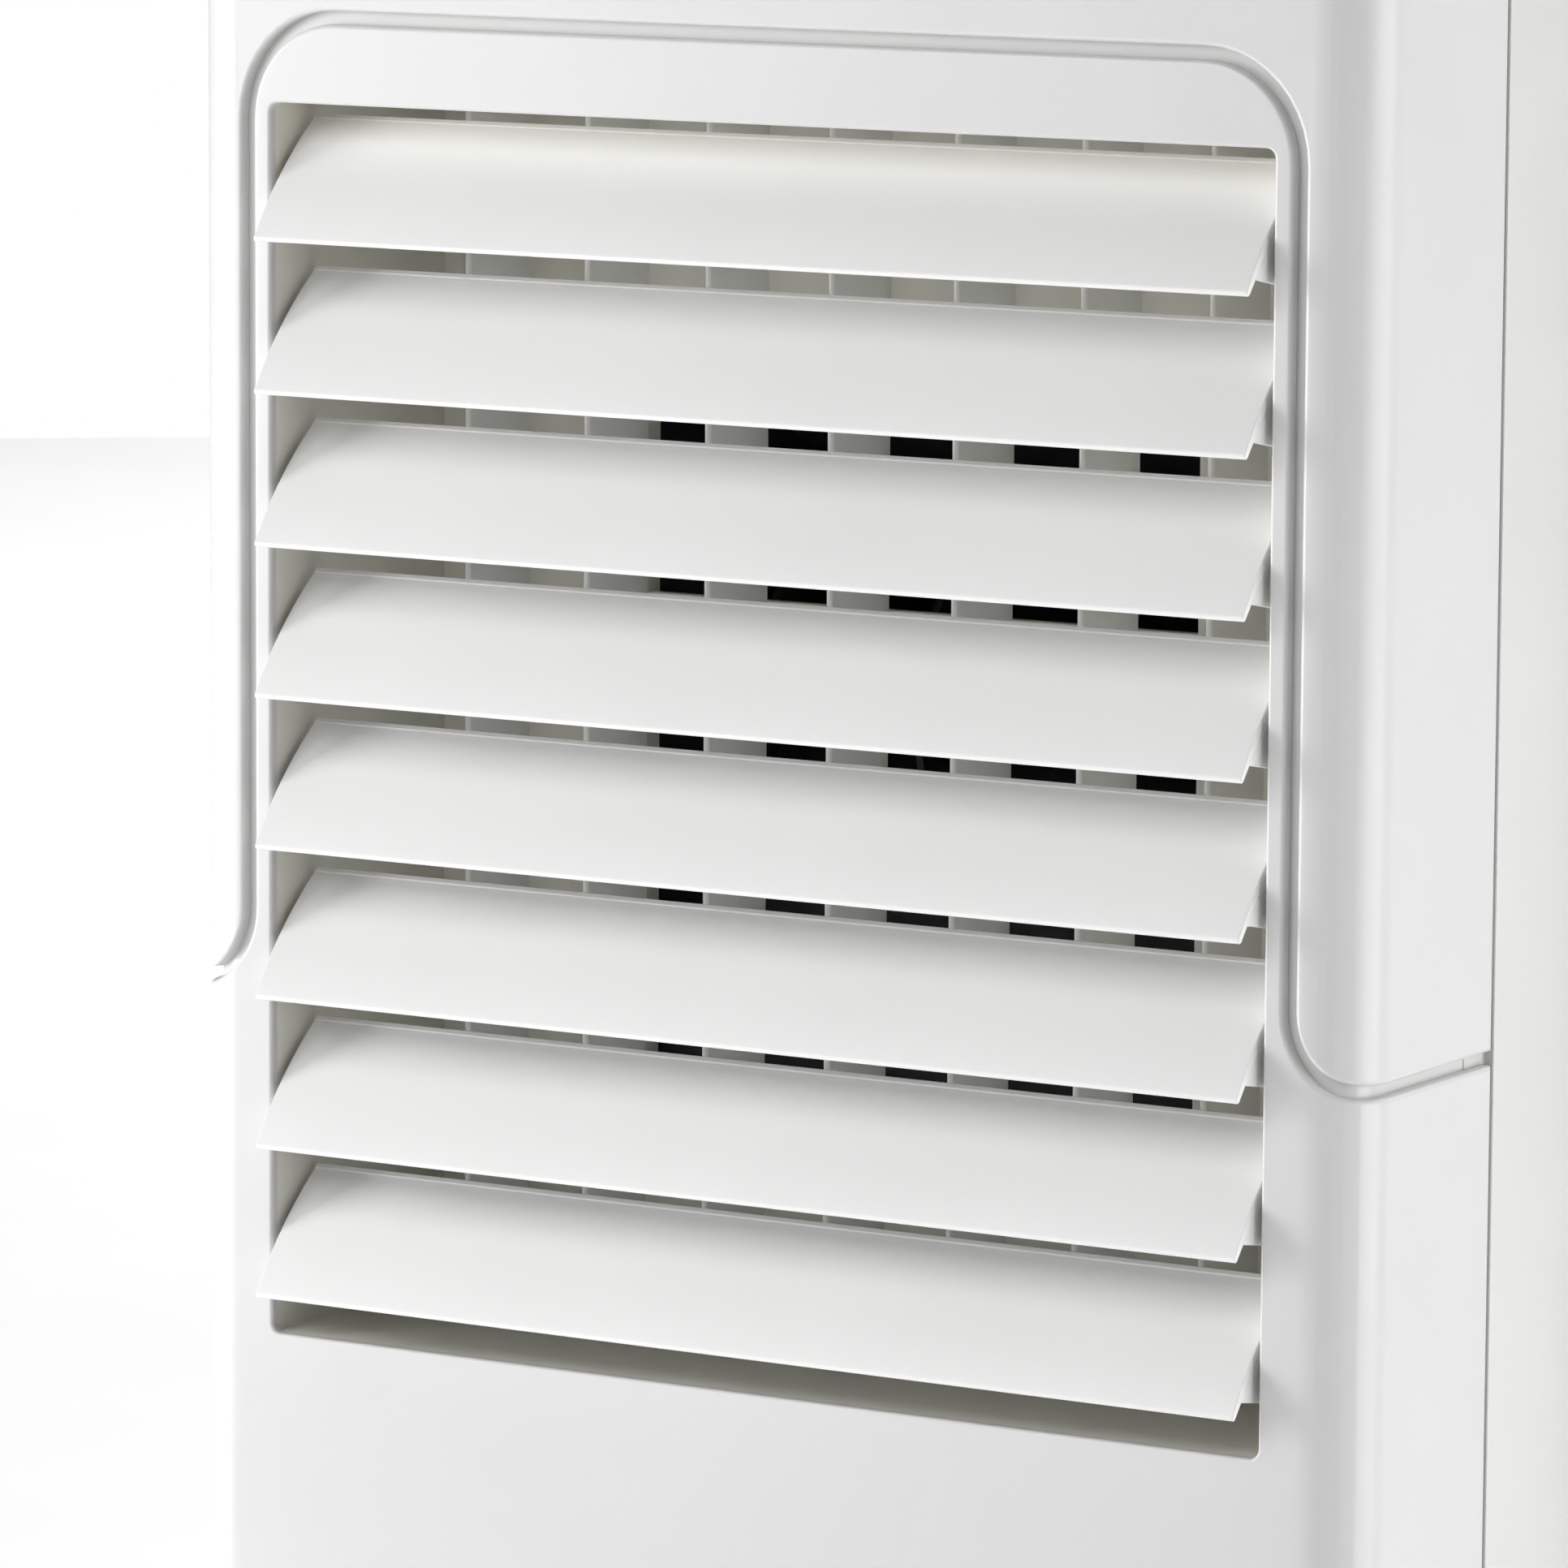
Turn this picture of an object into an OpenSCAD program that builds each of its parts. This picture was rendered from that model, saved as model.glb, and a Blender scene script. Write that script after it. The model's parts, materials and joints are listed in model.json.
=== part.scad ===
// Portrait window air conditioner with a louvred outlet in its front.
// Millimetres, +Z up, front towards -Y, origin on the floor under the middle of the bounding box.
// Depths are measured back from the flat face of the front cover.

/* [Cabinet] */
// Width of the cabinet, without the side rails
body_w = 336; // [334:1:342]
// Height from the floor to the top
body_h = 770; // [768:1:785]
// Depth from the front cover's face to the rear grille's face
body_d = 329; // [328:1:335]
// Radius of the upright front edges
corner_r = 16; // [15:1:17]
// Radius of the edges round the top
top_r = 14; // [12:1:15]
// Height of the rubber feet
foot_h = 10; // [8:1:12]
// Wall of the moulded covers
wall = 2.5; // [2.4:0.1:2.6]
// Thickness of the steel sheet
sheet = 1.5; // [1.2:0.1:1.6]
// Depth of the seam between the front covers and the rear cabinet
seam_d = 70; // [66:1:74]

/* [Front cover] */
// Distance from the top of the cabinet to the top of the outlet
outlet_drop = 70; // [68:1:74]
// Width of the outlet opening
outlet_w = 284; // [282:1:286]
// Height of the outlet opening
outlet_h = 313; // [312:1:315]
// Cover margin above the outlet
arch_margin = 20; // [18:1:22]
// Cover margin beside the outlet
side_margin = 5; // [4.5:0.1:5.5]
// Radius of the arch's two top corners
arch_r = 24; // [22:1:26]
// Height of the shoulder line above the outlet's bottom
shoulder_rise = 88; // [86:1:92]
// Width of the groove round the cover
groove_w = 3.4; // [3.2:0.1:3.8]
// Depth of the groove
groove_d = 3; // [2.9:0.1:3.3]

/* [Louvres] */
// Number of horizontal louvres
louvre_count = 8; // [8]
// Distance between louvre axes
louvre_pitch = 38.3; // [38:0.1:38.4]
// Louvre size from rear edge to front lip
louvre_chord = 41.4; // [41.2:0.1:41.6]
// Thickness of a louvre's edges
louvre_t = 1.6; // [1.4:0.1:1.8]
// Tilt of the louvres at rest, front lip down
louvre_tilt = 46; // [44:1:48]
// Depth of the louvre axes behind the cover's face
louvre_axis_d = 13.2; // [13:0.1:13.4]

/* [Vanes] */
// Number of upright vanes
vane_count = 7; // [7]
// Depth of the vanes' front edges
vane_front_d = 36; // [35:0.1:36.5]
// Vane size from front edge to rear edge
vane_chord = 29; // [28:0.5:29.5]
// Thickness of a vane
vane_t = 1.8; // [1.6:0.1:2]

/* [Intake] */
// Width of the intake opening
intake_w = 264; // [260:1:266]
// Height of the intake opening
intake_h = 204; // [202:1:206]
// Height of the intake opening's bottom edge
intake_z = 54; // [54:1:56]

/* [Blower and fan] */
// Radius of the cross-flow wheel
wheel_r = 50; // [48:1:50]
// Length of the cross-flow wheel
wheel_l = 148; // [144:1:150]
// Number of blades round the cross-flow wheel
wheel_blades = 28; // [24:1:32]
// Radius of the condenser fan
fan_r = 114; // [110:1:115]
// Number of condenser fan blades
fan_blades = 5; // [4:1:6]

/* [Hidden] */
$fn = 64;
eps = 0.01;
over = 30;

// Colours
white = [0.93, 0.93, 0.92];
off_white = [0.90, 0.90, 0.88];
inner_grey = [0.78, 0.78, 0.75];
black = [0.06, 0.06, 0.07];
steel = [0.72, 0.73, 0.74];
copper = [0.80, 0.45, 0.28];
fin_silver = [0.82, 0.84, 0.86];
dark_grey = [0.22, 0.22, 0.24];

// Running clearance of a pin in its hole, and the gap between pieces that pass each other
run = 0.05;
gap = 0.4;

// Front cover
outlet_top = body_h - outlet_drop;
outlet_bottom = outlet_top - outlet_h;
outlet_mid = (outlet_top + outlet_bottom) / 2;
shoulder_z = outlet_bottom + shoulder_rise;
tongue_w = outlet_w + 2 * side_margin;
shoulder_r = body_w / 2 - tongue_w / 2;
outlet_corner_r = 2.5;
cover_z = foot_h;
duct_wall = 2.5;
duct_screw_x = 100;
duct_screw_z = [outlet_bottom - 10, outlet_top + 9];

// Depth where the rear cabinet's lip starts, inside the front covers
lip_d = seam_d - 10.5;

// Rear face of the cabinet, behind which the grille and its screw heads stand
grille_t = 2;
back_d = body_d - grille_t - 2.2;

// Louvres: the axis lies under the blade and towards its rear edge
axis_back = 17;
axis_drop = 8;
blade_front = louvre_chord - axis_back;
crown_top = 1.9;
crown_under = 0.6;
louvre_drop = 21.9;
louvre_end_gap = 1.6;
louvre_pin_r = 2.5;
crank_r = 9;
crank_pin_r = 1.5;
crank_angle = 14;
crank_t = 3;
link_t = 3;
louvre_half = outlet_w / 2 - louvre_end_gap;
link_x = outlet_w / 2 + duct_wall + crank_t + 1;

// The front lips stand proud of the cover, so the bounding box starts at them
lip_reach = blade_front * cos(louvre_tilt) + (axis_drop + louvre_t / 2) * sin(louvre_tilt);
lip_proud = lip_reach - louvre_axis_d;
front_y = lip_proud - (body_d + lip_proud) / 2;

// Vanes
vane_pitch = outlet_w / (vane_count + 1);
vane_axis_d = vane_front_d + vane_chord / 2;
vane_pin_r = 2;
vane_arm = 12;
vane_arm_z = outlet_bottom - duct_wall - 0.6;
vane_link_z = vane_arm_z - crank_t - 0.4 - link_t;

// Outlet duct
duct_d = 80;
throat_w = 160;
throat_h = 184;
throat_jamb = 6;
throat_rib_z = [outlet_mid - 44, outlet_mid + 27];

// Blower
wheel_d = 173;
wheel_z = outlet_mid - 5;
wheel_shaft_r = 4;
blower_plate = 3;
blower_half = throat_w / 2;
volute_r = 61;

// Bulkhead
lower_bulkhead_d = 125;
upper_bulkhead_d = 240;
shelf_z = 372;

// Condenser fan and coil
fan_z = 545;
fan_motor_d = 243;
fan_motor_l = 25;
fan_d = 272;
fan_l = 20;
condenser_d = 298;
condenser_t = 22;
condenser_z = [334, 742];
coil_half = 138;
evaporator_d = 36;
evaporator_t = 38;
evaporator_z = [44, 344];

// Compressor
comp_x = 66;
comp_d = 214;
comp_r = 58;
comp_z = [44, 262];
comp_foot_r = 84;

// Accumulator and pipe passages
acc_x = 146;
acc_d = 256;
suction_z = 318;
capillary_z = 60;

// Base pan
pan_half = 162;
pan_d = [10, 320];

// Filter
filter_d = 21;
filter_t = 5;
filter_z = [50, 262];
filter_frame = 8;

// Controls
panel_z = 296;
panel_w = 170;
panel_h = 34;
button_r = 5.7;
button_x = [-8, 12, 32, 52, 72];
button_travel = 1.2;
button_proud = 0.6;
button_back_d = wall + 2.1 + 1.5;
board_d = 16;

// Side rails
rail_d = 150;
rail_w = 22;
rail_t = 2;
rail_z = [60, 720];
rail_hole_x = 181;
rail_hole_z = [120, 660];

// Fixings on the back and the sides
gland_r = 9;
gland_x = -120;
gland_z = 60;
drain_x = 110;
drain_z = 24;
rail_screw_z = [100, 300, 480, 690];
grille_screw_x = 149;
grille_screw_z = [326, 540, 750];
screw_r = 1.6;
screw_hole_r = 1.7;
head_r = 3.6;
head_t = 2.2;

// A box between two x values, two depths and two heights
module box(x, d, z) {
    translate([x[0], front_y + d[0], z[0]]) cube([x[1] - x[0], d[1] - d[0], z[1] - z[0]]);
}

// A front-view outline made solid between two depths
module through(d) {
    translate([0, front_y + d[1], 0]) rotate([90, 0, 0]) linear_extrude(d[1] - d[0]) children();
}

// A side-view outline of depth and height made solid between two x values
module across(x) {
    translate([x[0], front_y, 0]) rotate([90, 0, 90]) linear_extrude(x[1] - x[0]) children();
}

// A cylinder along Y between two depths
module rod_y(r, d, x, z) {
    translate([x, front_y + d[0], z]) rotate([-90, 0, 0]) cylinder(h = d[1] - d[0], r = r);
}

// A cylinder along X between two x values
module rod_x(r, x, d, z) {
    translate([x[0], front_y + d, z]) rotate([0, 90, 0]) cylinder(h = x[1] - x[0], r = r);
}

module rounded_rect(w, h, r) {
    square([w, h - 2 * r], center = true);
    square([w - 2 * r, h], center = true);
    for (sx = [-1, 1], sy = [-1, 1]) translate([sx * (w / 2 - r), sy * (h / 2 - r)]) circle(r);
}

// ---------- Covers ----------

// Plan of the front covers, drawn in by inset and open at the seam
module plan(inset) {
    half = body_w / 2 - inset;
    r = corner_r - inset;
    translate([-half, front_y + corner_r]) square([2 * half, seam_d - corner_r]);
    translate([-(half - r), front_y + inset]) square([2 * (half - r), corner_r]);
    for (s = [-1, 1]) translate([s * (half - r), front_y + corner_r]) circle(r);
}

module pillar(inset, z) {
    translate([0, 0, z[0]]) linear_extrude(z[1] - z[0]) plan(inset);
}

// Front view of the whole cabinet, with its two top corners rounded
module front_profile(inset, drop) {
    half = body_w / 2 - inset;
    r = top_r - inset;
    top = body_h - inset;
    translate([-half, -drop]) square([2 * half, body_h - top_r + drop]);
    translate([-(half - r), 0]) square([2 * (half - r), top]);
    for (s = [-1, 1]) translate([s * (half - r), top - r]) circle(r);
}

// Side view with the top front edge rounded
module side_profile(inset) {
    r = top_r - inset;
    top = body_h - inset;
    translate([inset, 0]) square([seam_d + over, body_h - top_r]);
    translate([inset + r, 0]) square([seam_d + over, top]);
    translate([inset + r, top - r]) circle(r);
}

module shell_block(inset, bottom) {
    intersection() {
        pillar(inset, [bottom, body_h]);
        through([-over, seam_d + over]) front_profile(inset, over);
        across([-body_w, body_w]) side_profile(inset);
    }
}

// Front outline of the cover: a tongue with an arched top on a full-width base, grown by g
module tongue_outline(g) {
    half = tongue_w / 2 + g;
    r = arch_r + g;
    top = outlet_top + arch_margin + g;
    fillet = shoulder_r - g;
    base = shoulder_z + g;
    translate([-half, base - 1]) square([2 * half, top - r - base + 1]);
    translate([-(half - r), base]) square([2 * (half - r), top - base]);
    for (s = [-1, 1]) translate([s * (half - r), top - r]) circle(r);
    translate([-body_w, -over]) square([2 * body_w, base + over]);
    for (s = [-1, 1]) difference() {
        translate([s > 0 ? half - 1 : -half - fillet - 1, base - 1]) square([fillet + 2, fillet + 1]);
        translate([s * (half + fillet), base + fillet]) circle(fillet);
        translate([s > 0 ? half + fillet : -half - fillet - 2, base]) square([2, fillet + 1]);
    }
}

module outlet_outline() {
    translate([0, outlet_mid]) rounded_rect(outlet_w, outlet_h, outlet_corner_r);
}

module front_cover() {
    rim_t = 2.2;
    color(white) difference() {
        union() {
            intersection() {
                difference() {
                    pillar(0, [cover_z, outlet_top + arch_margin + 1]);
                    translate([0, eps, 0]) pillar(wall, [cover_z - 1, body_h]);
                }
                through([-1, seam_d]) tongue_outline(0);
                box([-body_w, body_w], [-1, seam_d - 0.5], [0, body_h]);
            }
            // Rim that gives the cover's edge its depth along the groove
            intersection() {
                difference() {
                    pillar(wall - eps, [shoulder_z - over, body_h]);
                    pillar(groove_d - 0.1, [shoulder_z - over - 1, body_h + 1]);
                }
                through([0, lip_d]) difference() {
                    tongue_outline(0);
                    tongue_outline(-rim_t);
                }
            }
            // Bosses for the duct's screws
            for (s = [-1, 1], z = duct_screw_z) rod_y(4, [wall - eps, wall + 4], s * duct_screw_x, z);
            // Guide rails of the filter
            for (s = [0, 1])
                box([-158, 160], [wall - eps, filter_d + filter_t + 3],
                    s == 0 ? [filter_z[0] - 4, filter_z[0] + 3] : [filter_z[1] - 3, filter_z[1] + 4]);
        }
        through([-1, groove_d + 1]) outlet_outline();
        through([-1, wall + 1]) translate([0, intake_z + intake_h / 2]) rounded_rect(intake_w, intake_h, 6);
        through([-1, wall + 1]) translate([0, panel_z]) rounded_rect(panel_w, panel_h, 6);
        // Slot that the filter slides through
        box([-159, body_w], [filter_d - gap, filter_d + filter_t + gap],
            [filter_z[0] - gap, filter_z[1] + gap]);
        for (s = [0, 1])
            box([-159, 161], [wall + 3, filter_d - 4],
                s == 0 ? [filter_z[0] - 1, filter_z[0] + 4] : [filter_z[1] - 4, filter_z[1] + 1]);
        for (s = [-1, 1], z = duct_screw_z) rod_y(screw_hole_r, [wall, wall + 5], s * duct_screw_x, z);
    }
}

module upper_shell() {
    floor_t = 2;
    step = 2.5;
    color(white) difference() {
        union() {
            difference() {
                shell_block(0, shoulder_z - over);
                shell_block(wall, shoulder_z - over - 1);
                through([-1, seam_d + over]) tongue_outline(groove_w);
            }
            // Floor of the groove, with the web that joins it to the wall
            intersection() {
                difference() {
                    pillar(groove_d + 0.1, [shoulder_z - over, outlet_top + over]);
                    pillar(groove_d + 0.1 + floor_t, [shoulder_z - over - 1, body_h]);
                }
                through([0, lip_d]) difference() {
                    tongue_outline(groove_w + step);
                    tongue_outline(-1.6);
                }
            }
            intersection() {
                difference() {
                    pillar(wall - 0.2, [shoulder_z - over, outlet_top + over]);
                    pillar(groove_d + 0.1 + floor_t, [shoulder_z - over - 1, body_h]);
                }
                through([0, lip_d]) difference() {
                    tongue_outline(groove_w + step);
                    tongue_outline(groove_w);
                }
            }
        }
        box([-body_w, body_w], [seam_d - 0.5, seam_d + over], [0, body_h + 1]);
    }
}

// Block with the cabinet's front view, drawn in by inset and cut off at the bottom
module wrap(inset, d, bottom) {
    difference() {
        through(d) front_profile(inset, over);
        box([-body_w, body_w], [-1, body_d + 1], [-2 * over, bottom]);
    }
}

module rear_cabinet() {
    lip = wall + 0.3;
    color(off_white) difference() {
        union() {
            wrap(0, [seam_d + 0.5, back_d - sheet], cover_z);
            // Joggled lip that the front covers slide over
            wrap(lip, [lip_d + 0.5, seam_d + 3], cover_z);
        }
        wrap(sheet, [seam_d + 3, back_d], 0);
        wrap(lip + sheet, [lip_d - 1, seam_d + 4], 0);
        // Air slots beside the condenser fan and the compressor
        for (z = [380:16:716]) box([-body_w, body_w], [246, 292], [z, z + 6]);
        for (z = [96:16:304]) box([-body_w, body_w], [180, 292], [z, z + 6]);
        // Holes for the screws
        for (s = [-1, 1], z = rail_screw_z)
            rod_x(screw_hole_r, s > 0 ? [150, 190] : [-190, -150], rail_d + 14, z);
    }
}

module rear_panel() {
    color(off_white) difference() {
        wrap(0, [back_d - sheet, back_d], cover_z);
        // Opening behind the condenser
        box([-145, 145], [back_d - 5, back_d + 1], condenser_z);
        // Holes for the screws, the cord gland and the drain port
        for (s = [-1, 1], z = grille_screw_z)
            rod_y(screw_hole_r, [back_d - 5, back_d + 1], s * grille_screw_x, z);
        rod_y(gland_r + 0.1, [back_d - 5, back_d + 1], gland_x, gland_z);
        rod_y(10.5, [back_d - 5, back_d + 1], drain_x, drain_z);
    }
}

module rear_grille() {
    half_w = 154;
    z = [condenser_z[0] - 14, condenser_z[1] + 14];
    color(off_white) difference() {
        through([back_d, back_d + grille_t]) translate([0, (z[0] + z[1]) / 2])
            rounded_rect(2 * half_w, z[1] - z[0], 6);
        for (row = [0:26], col = [0:3])
            box([-138 + col * 70, -138 + col * 70 + 66], [back_d - 1, body_d],
                [condenser_z[0] + 4 + row * 15, condenser_z[0] + 4 + row * 15 + 10]);
        for (s = [-1, 1], h = grille_screw_z)
            rod_y(screw_hole_r, [back_d - 1, body_d], s * grille_screw_x, h);
    }
}

// ---------- Base and partition ----------

// Plan position of a compressor foot, as x and depth
function comp_foot(i) = let (a = 90 + i * 120)
    [comp_x + comp_foot_r * cos(a), comp_d + comp_foot_r * sin(a)];

module base_pan() {
    rim_h = 22;
    color(steel) difference() {
        union() {
            difference() {
                box([-pan_half, pan_half], pan_d, [foot_h, foot_h + rim_h]);
                box([-pan_half + sheet, pan_half - sheet], pan_d + [sheet, -sheet],
                    [foot_h + sheet, foot_h + rim_h + 1]);
            }
            // Bosses under the compressor
            for (i = [0:2]) translate([comp_foot(i)[0], front_y + comp_foot(i)[1], foot_h + eps])
                cylinder(h = 12, r = 9);
            // Drain port collar
            rod_y(10, [pan_d[1] - 14, back_d], drain_x, drain_z);
            // Ribs that stiffen the floor
            for (x = [-120:40:-40]) box([x - 3, x + 3], [150, 300], [foot_h + eps, foot_h + 5]);
        }
        rod_y(8, [pan_d[1] - 15, body_d], drain_x, drain_z);
        for (i = [0:2]) translate([comp_foot(i)[0], front_y + comp_foot(i)[1], foot_h - 1])
            cylinder(h = 20, r = 2.6);
    }
}

module feet() {
    color(dark_grey) for (x = [-130, 130], d = [36, 290])
        translate([x, front_y + d, 0]) difference() {
            cylinder(h = foot_h, r1 = 13, r2 = 15);
            translate([0, 0, -1]) cylinder(h = 5, r = 5);
        }
}

module bulkhead() {
    half = 160;
    color(steel) difference() {
        union() {
            box([-half, half], [lower_bulkhead_d, lower_bulkhead_d + sheet],
                [foot_h + sheet, shelf_z + sheet]);
            box([-half, half], [lower_bulkhead_d, upper_bulkhead_d + sheet], [shelf_z, shelf_z + sheet]);
            box([-half, half], [upper_bulkhead_d, upper_bulkhead_d + sheet], [shelf_z, body_h - 12]);
        }
        // Passages for the suction pipe and the capillary tube
        rod_y(8, [lower_bulkhead_d - 5, lower_bulkhead_d + 5], 150, suction_z);
        rod_y(5, [lower_bulkhead_d - 5, lower_bulkhead_d + 5], 150, capillary_z);
        rod_y(6, [lower_bulkhead_d - 5, lower_bulkhead_d + 5], -150, 250);
    }
}

// ---------- Outlet duct, louvres and vanes ----------

function louvre_z(i) = outlet_top - louvre_drop - i * louvre_pitch;
function vane_x(i) = (i - (vane_count - 1) / 2) * vane_pitch;

module outlet_duct() {
    half = outlet_w / 2;
    color(inner_grey) difference() {
        union() {
            difference() {
                box([-half - duct_wall, half + duct_wall], [wall + 0.1, duct_d + duct_wall],
                    [outlet_bottom - duct_wall, outlet_top + duct_wall]);
                box([-half, half], [0, duct_d], [outlet_bottom, outlet_top]);
            }
            // Collar round the throat
            box([-throat_w / 2 - duct_wall, throat_w / 2 + duct_wall], [duct_d + eps, duct_d + throat_jamb],
                [outlet_mid - throat_h / 2 - duct_wall, outlet_mid + throat_h / 2 + duct_wall]);
            // Screw ears on the top and under the floor
            for (s = [-1, 1]) {
                box([s * duct_screw_x - 8, s * duct_screw_x + 8], [wall + 4, wall + 7],
                    [outlet_top + duct_wall - eps, outlet_top + 14]);
                box([s * duct_screw_x - 8, s * duct_screw_x + 8], [wall + 4, wall + 7],
                    [outlet_bottom - 16, outlet_bottom - duct_wall + eps]);
                // Posts that carry the swing motor
                translate([s * 20, front_y + vane_axis_d, vane_link_z - 4])
                    cylinder(h = outlet_bottom - 1 - vane_link_z + 4, r = 3);
            }
        }
        box([-throat_w / 2, throat_w / 2], [duct_d - 5, duct_d + throat_jamb + 1],
            [outlet_mid - throat_h / 2, outlet_mid + throat_h / 2]);
        for (i = [0:louvre_count - 1], s = [-1, 1])
            rod_x(louvre_pin_r + run, s > 0 ? [half - 1, half + 4] : [-half - 4, -half + 1],
                louvre_axis_d, louvre_z(i));
        for (i = [0:vane_count - 1])
            translate([vane_x(i), front_y + vane_axis_d, 0]) {
                translate([0, 0, outlet_bottom - 4]) cylinder(h = 5, r = vane_pin_r + run);
                translate([0, 0, outlet_top - 1]) cylinder(h = 5, r = vane_pin_r + run);
            }
        for (s = [-1, 1], z = duct_screw_z) rod_y(screw_hole_r, [wall + 3, 12], s * duct_screw_x, z);
    }
    // Guard ribs across the throat
    color(inner_grey) for (z = throat_rib_z)
        box([-throat_w / 2, throat_w / 2], [duct_d + 0.5, duct_d + 3.5], [z - 2.5, z + 2.5]);
}

// Side view of a louvre about its own axis, front lip towards -X, blade flat
module blade_section() {
    half = louvre_chord / 2;
    mid = axis_back - half;
    r_top = (half * half + crown_top * crown_top) / (2 * crown_top);
    r_under = (half * half + crown_under * crown_under) / (2 * crown_under);
    translate([mid, axis_drop]) difference() {
        intersection() {
            translate([-half, -louvre_t / 2]) square([louvre_chord, louvre_t + crown_top]);
            translate([0, louvre_t / 2 + crown_top - r_top]) circle(r_top, $fn = 200);
        }
        translate([0, -louvre_t / 2 + crown_under - r_under]) circle(r_under, $fn = 200);
    }
}

module louvre(i) {
    ear_t = 2.2;
    // Gusset that joins the blade's end to its pin
    ear = [[-1, -4.4], [-11.4, -3.7], [-19, axis_drop - 0.6], [7, axis_drop], [4.4, 0]];
    x_in = outlet_w / 2 + duct_wall + 0.6;
    color(white) translate([0, 0, louvre_z(i)]) {
        translate([0, front_y + louvre_axis_d, 0]) rotate([louvre_tilt, 0, 0])
            rotate([90, 0, 90]) {
                translate([0, 0, -louvre_half]) linear_extrude(2 * louvre_half) blade_section();
                for (s = [-1, 1]) translate([0, 0, s > 0 ? louvre_half - ear_t : -louvre_half])
                    linear_extrude(ear_t) {
                        circle(4.5);
                        polygon(ear);
                    }
            }
        rod_x(louvre_pin_r, [louvre_half - 1, louvre_half + 4], louvre_axis_d, 0);
        rod_x(louvre_pin_r, [-x_in - 1, -louvre_half + 1], louvre_axis_d, 0);
        // Crank outside the duct's left wall, and its pin in the link
        translate([-x_in, front_y + louvre_axis_d, 0]) rotate([crank_angle, 0, 0]) rotate([90, 0, -90]) {
            linear_extrude(crank_t) {
                circle(3.4);
                translate([-crank_r, 0]) circle(3);
                translate([-crank_r, -2.4]) square([crank_r, 4.8]);
            }
            translate([-crank_r, 0, crank_t - 1]) cylinder(h = link_t + 2, r = crank_pin_r);
        }
    }
}

module louvre_link() {
    d = louvre_axis_d + crank_r * cos(crank_angle);
    rise = crank_r * sin(crank_angle);
    z = [louvre_z(louvre_count - 1) + rise - 5, louvre_z(0) + rise + 5];
    color(off_white) difference() {
        box([-link_x - link_t, -link_x], [d - 3.5, d + 3.5], z);
        for (i = [0:louvre_count - 1])
            rod_x(crank_pin_r + run, [-link_x - link_t - 1, -link_x + 1], d, louvre_z(i) + rise);
    }
}

module vane(i) {
    half = vane_chord / 2;
    drive = i == (vane_count - 1) / 2;
    nose = 0.6;
    color(off_white) translate([vane_x(i), front_y + vane_axis_d, 0]) {
        translate([0, 0, outlet_bottom + 1]) linear_extrude(outlet_h - 2) {
            polygon([[-nose, -half], [nose, -half], [vane_t / 2, -half + 1], [vane_t / 2, half - 2],
                [nose, half], [-nose, half], [-vane_t / 2, half - 2], [-vane_t / 2, -half + 1]]);
        }
        translate([0, 0, outlet_top - 2]) cylinder(h = 4, r = vane_pin_r);
        translate([0, 0, vane_arm_z - crank_t])
            cylinder(h = outlet_bottom + 2 - vane_arm_z + crank_t, r = vane_pin_r);
        // Arm under the duct floor, and its pin in the link
        translate([0, 0, vane_arm_z - crank_t]) linear_extrude(crank_t) {
            circle(3.4);
            translate([0, vane_arm]) circle(3);
            translate([-2.4, 0]) square([4.8, vane_arm]);
        }
        translate([0, vane_arm, vane_link_z - 0.6])
            cylinder(h = vane_arm_z - vane_link_z - 1, r = crank_pin_r);
        // The middle vane's lower pin runs on into the swing motor
        if (drive) translate([0, 0, vane_link_z - 14])
            cylinder(h = vane_arm_z - vane_link_z + 12, r = vane_pin_r);
    }
}

module vane_link() {
    reach = vane_x(vane_count - 1) + 5;
    d = vane_axis_d + vane_arm;
    color(off_white) difference() {
        box([-reach, reach], [d - 3.5, d + 3.5], [vane_link_z, vane_link_z + link_t]);
        for (i = [0:vane_count - 1]) translate([vane_x(i), front_y + d, vane_link_z - 1])
            cylinder(h = link_t + 2, r = crank_pin_r + run);
    }
}

module swing_motor() {
    top = vane_link_z - 4;
    color(steel) translate([0, front_y + vane_axis_d, 0]) difference() {
        union() {
            translate([0, 0, top - 19]) cylinder(h = 18, r = 14);
            translate([-24, -4, top - 2]) cube([48, 8, 2]);
            translate([0, 0, top - 2]) cylinder(h = 3, r = 4.5);
        }
        translate([0, 0, top - 12]) cylinder(h = 20, r = vane_pin_r + run);
    }
}

// ---------- Blower ----------

// Side view of the blower casing's air path, grown by g, about the wheel's centre
module volute(g) {
    rise = outlet_mid - wheel_z;
    throat = duct_d + throat_jamb - wheel_d;
    circle(volute_r + g);
    polygon([[throat, rise + throat_h / 2 + g], [0, volute_r + g], [0, 0], [-48, -24 - g],
        [throat, rise - throat_h / 2 - g]]);
}

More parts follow.
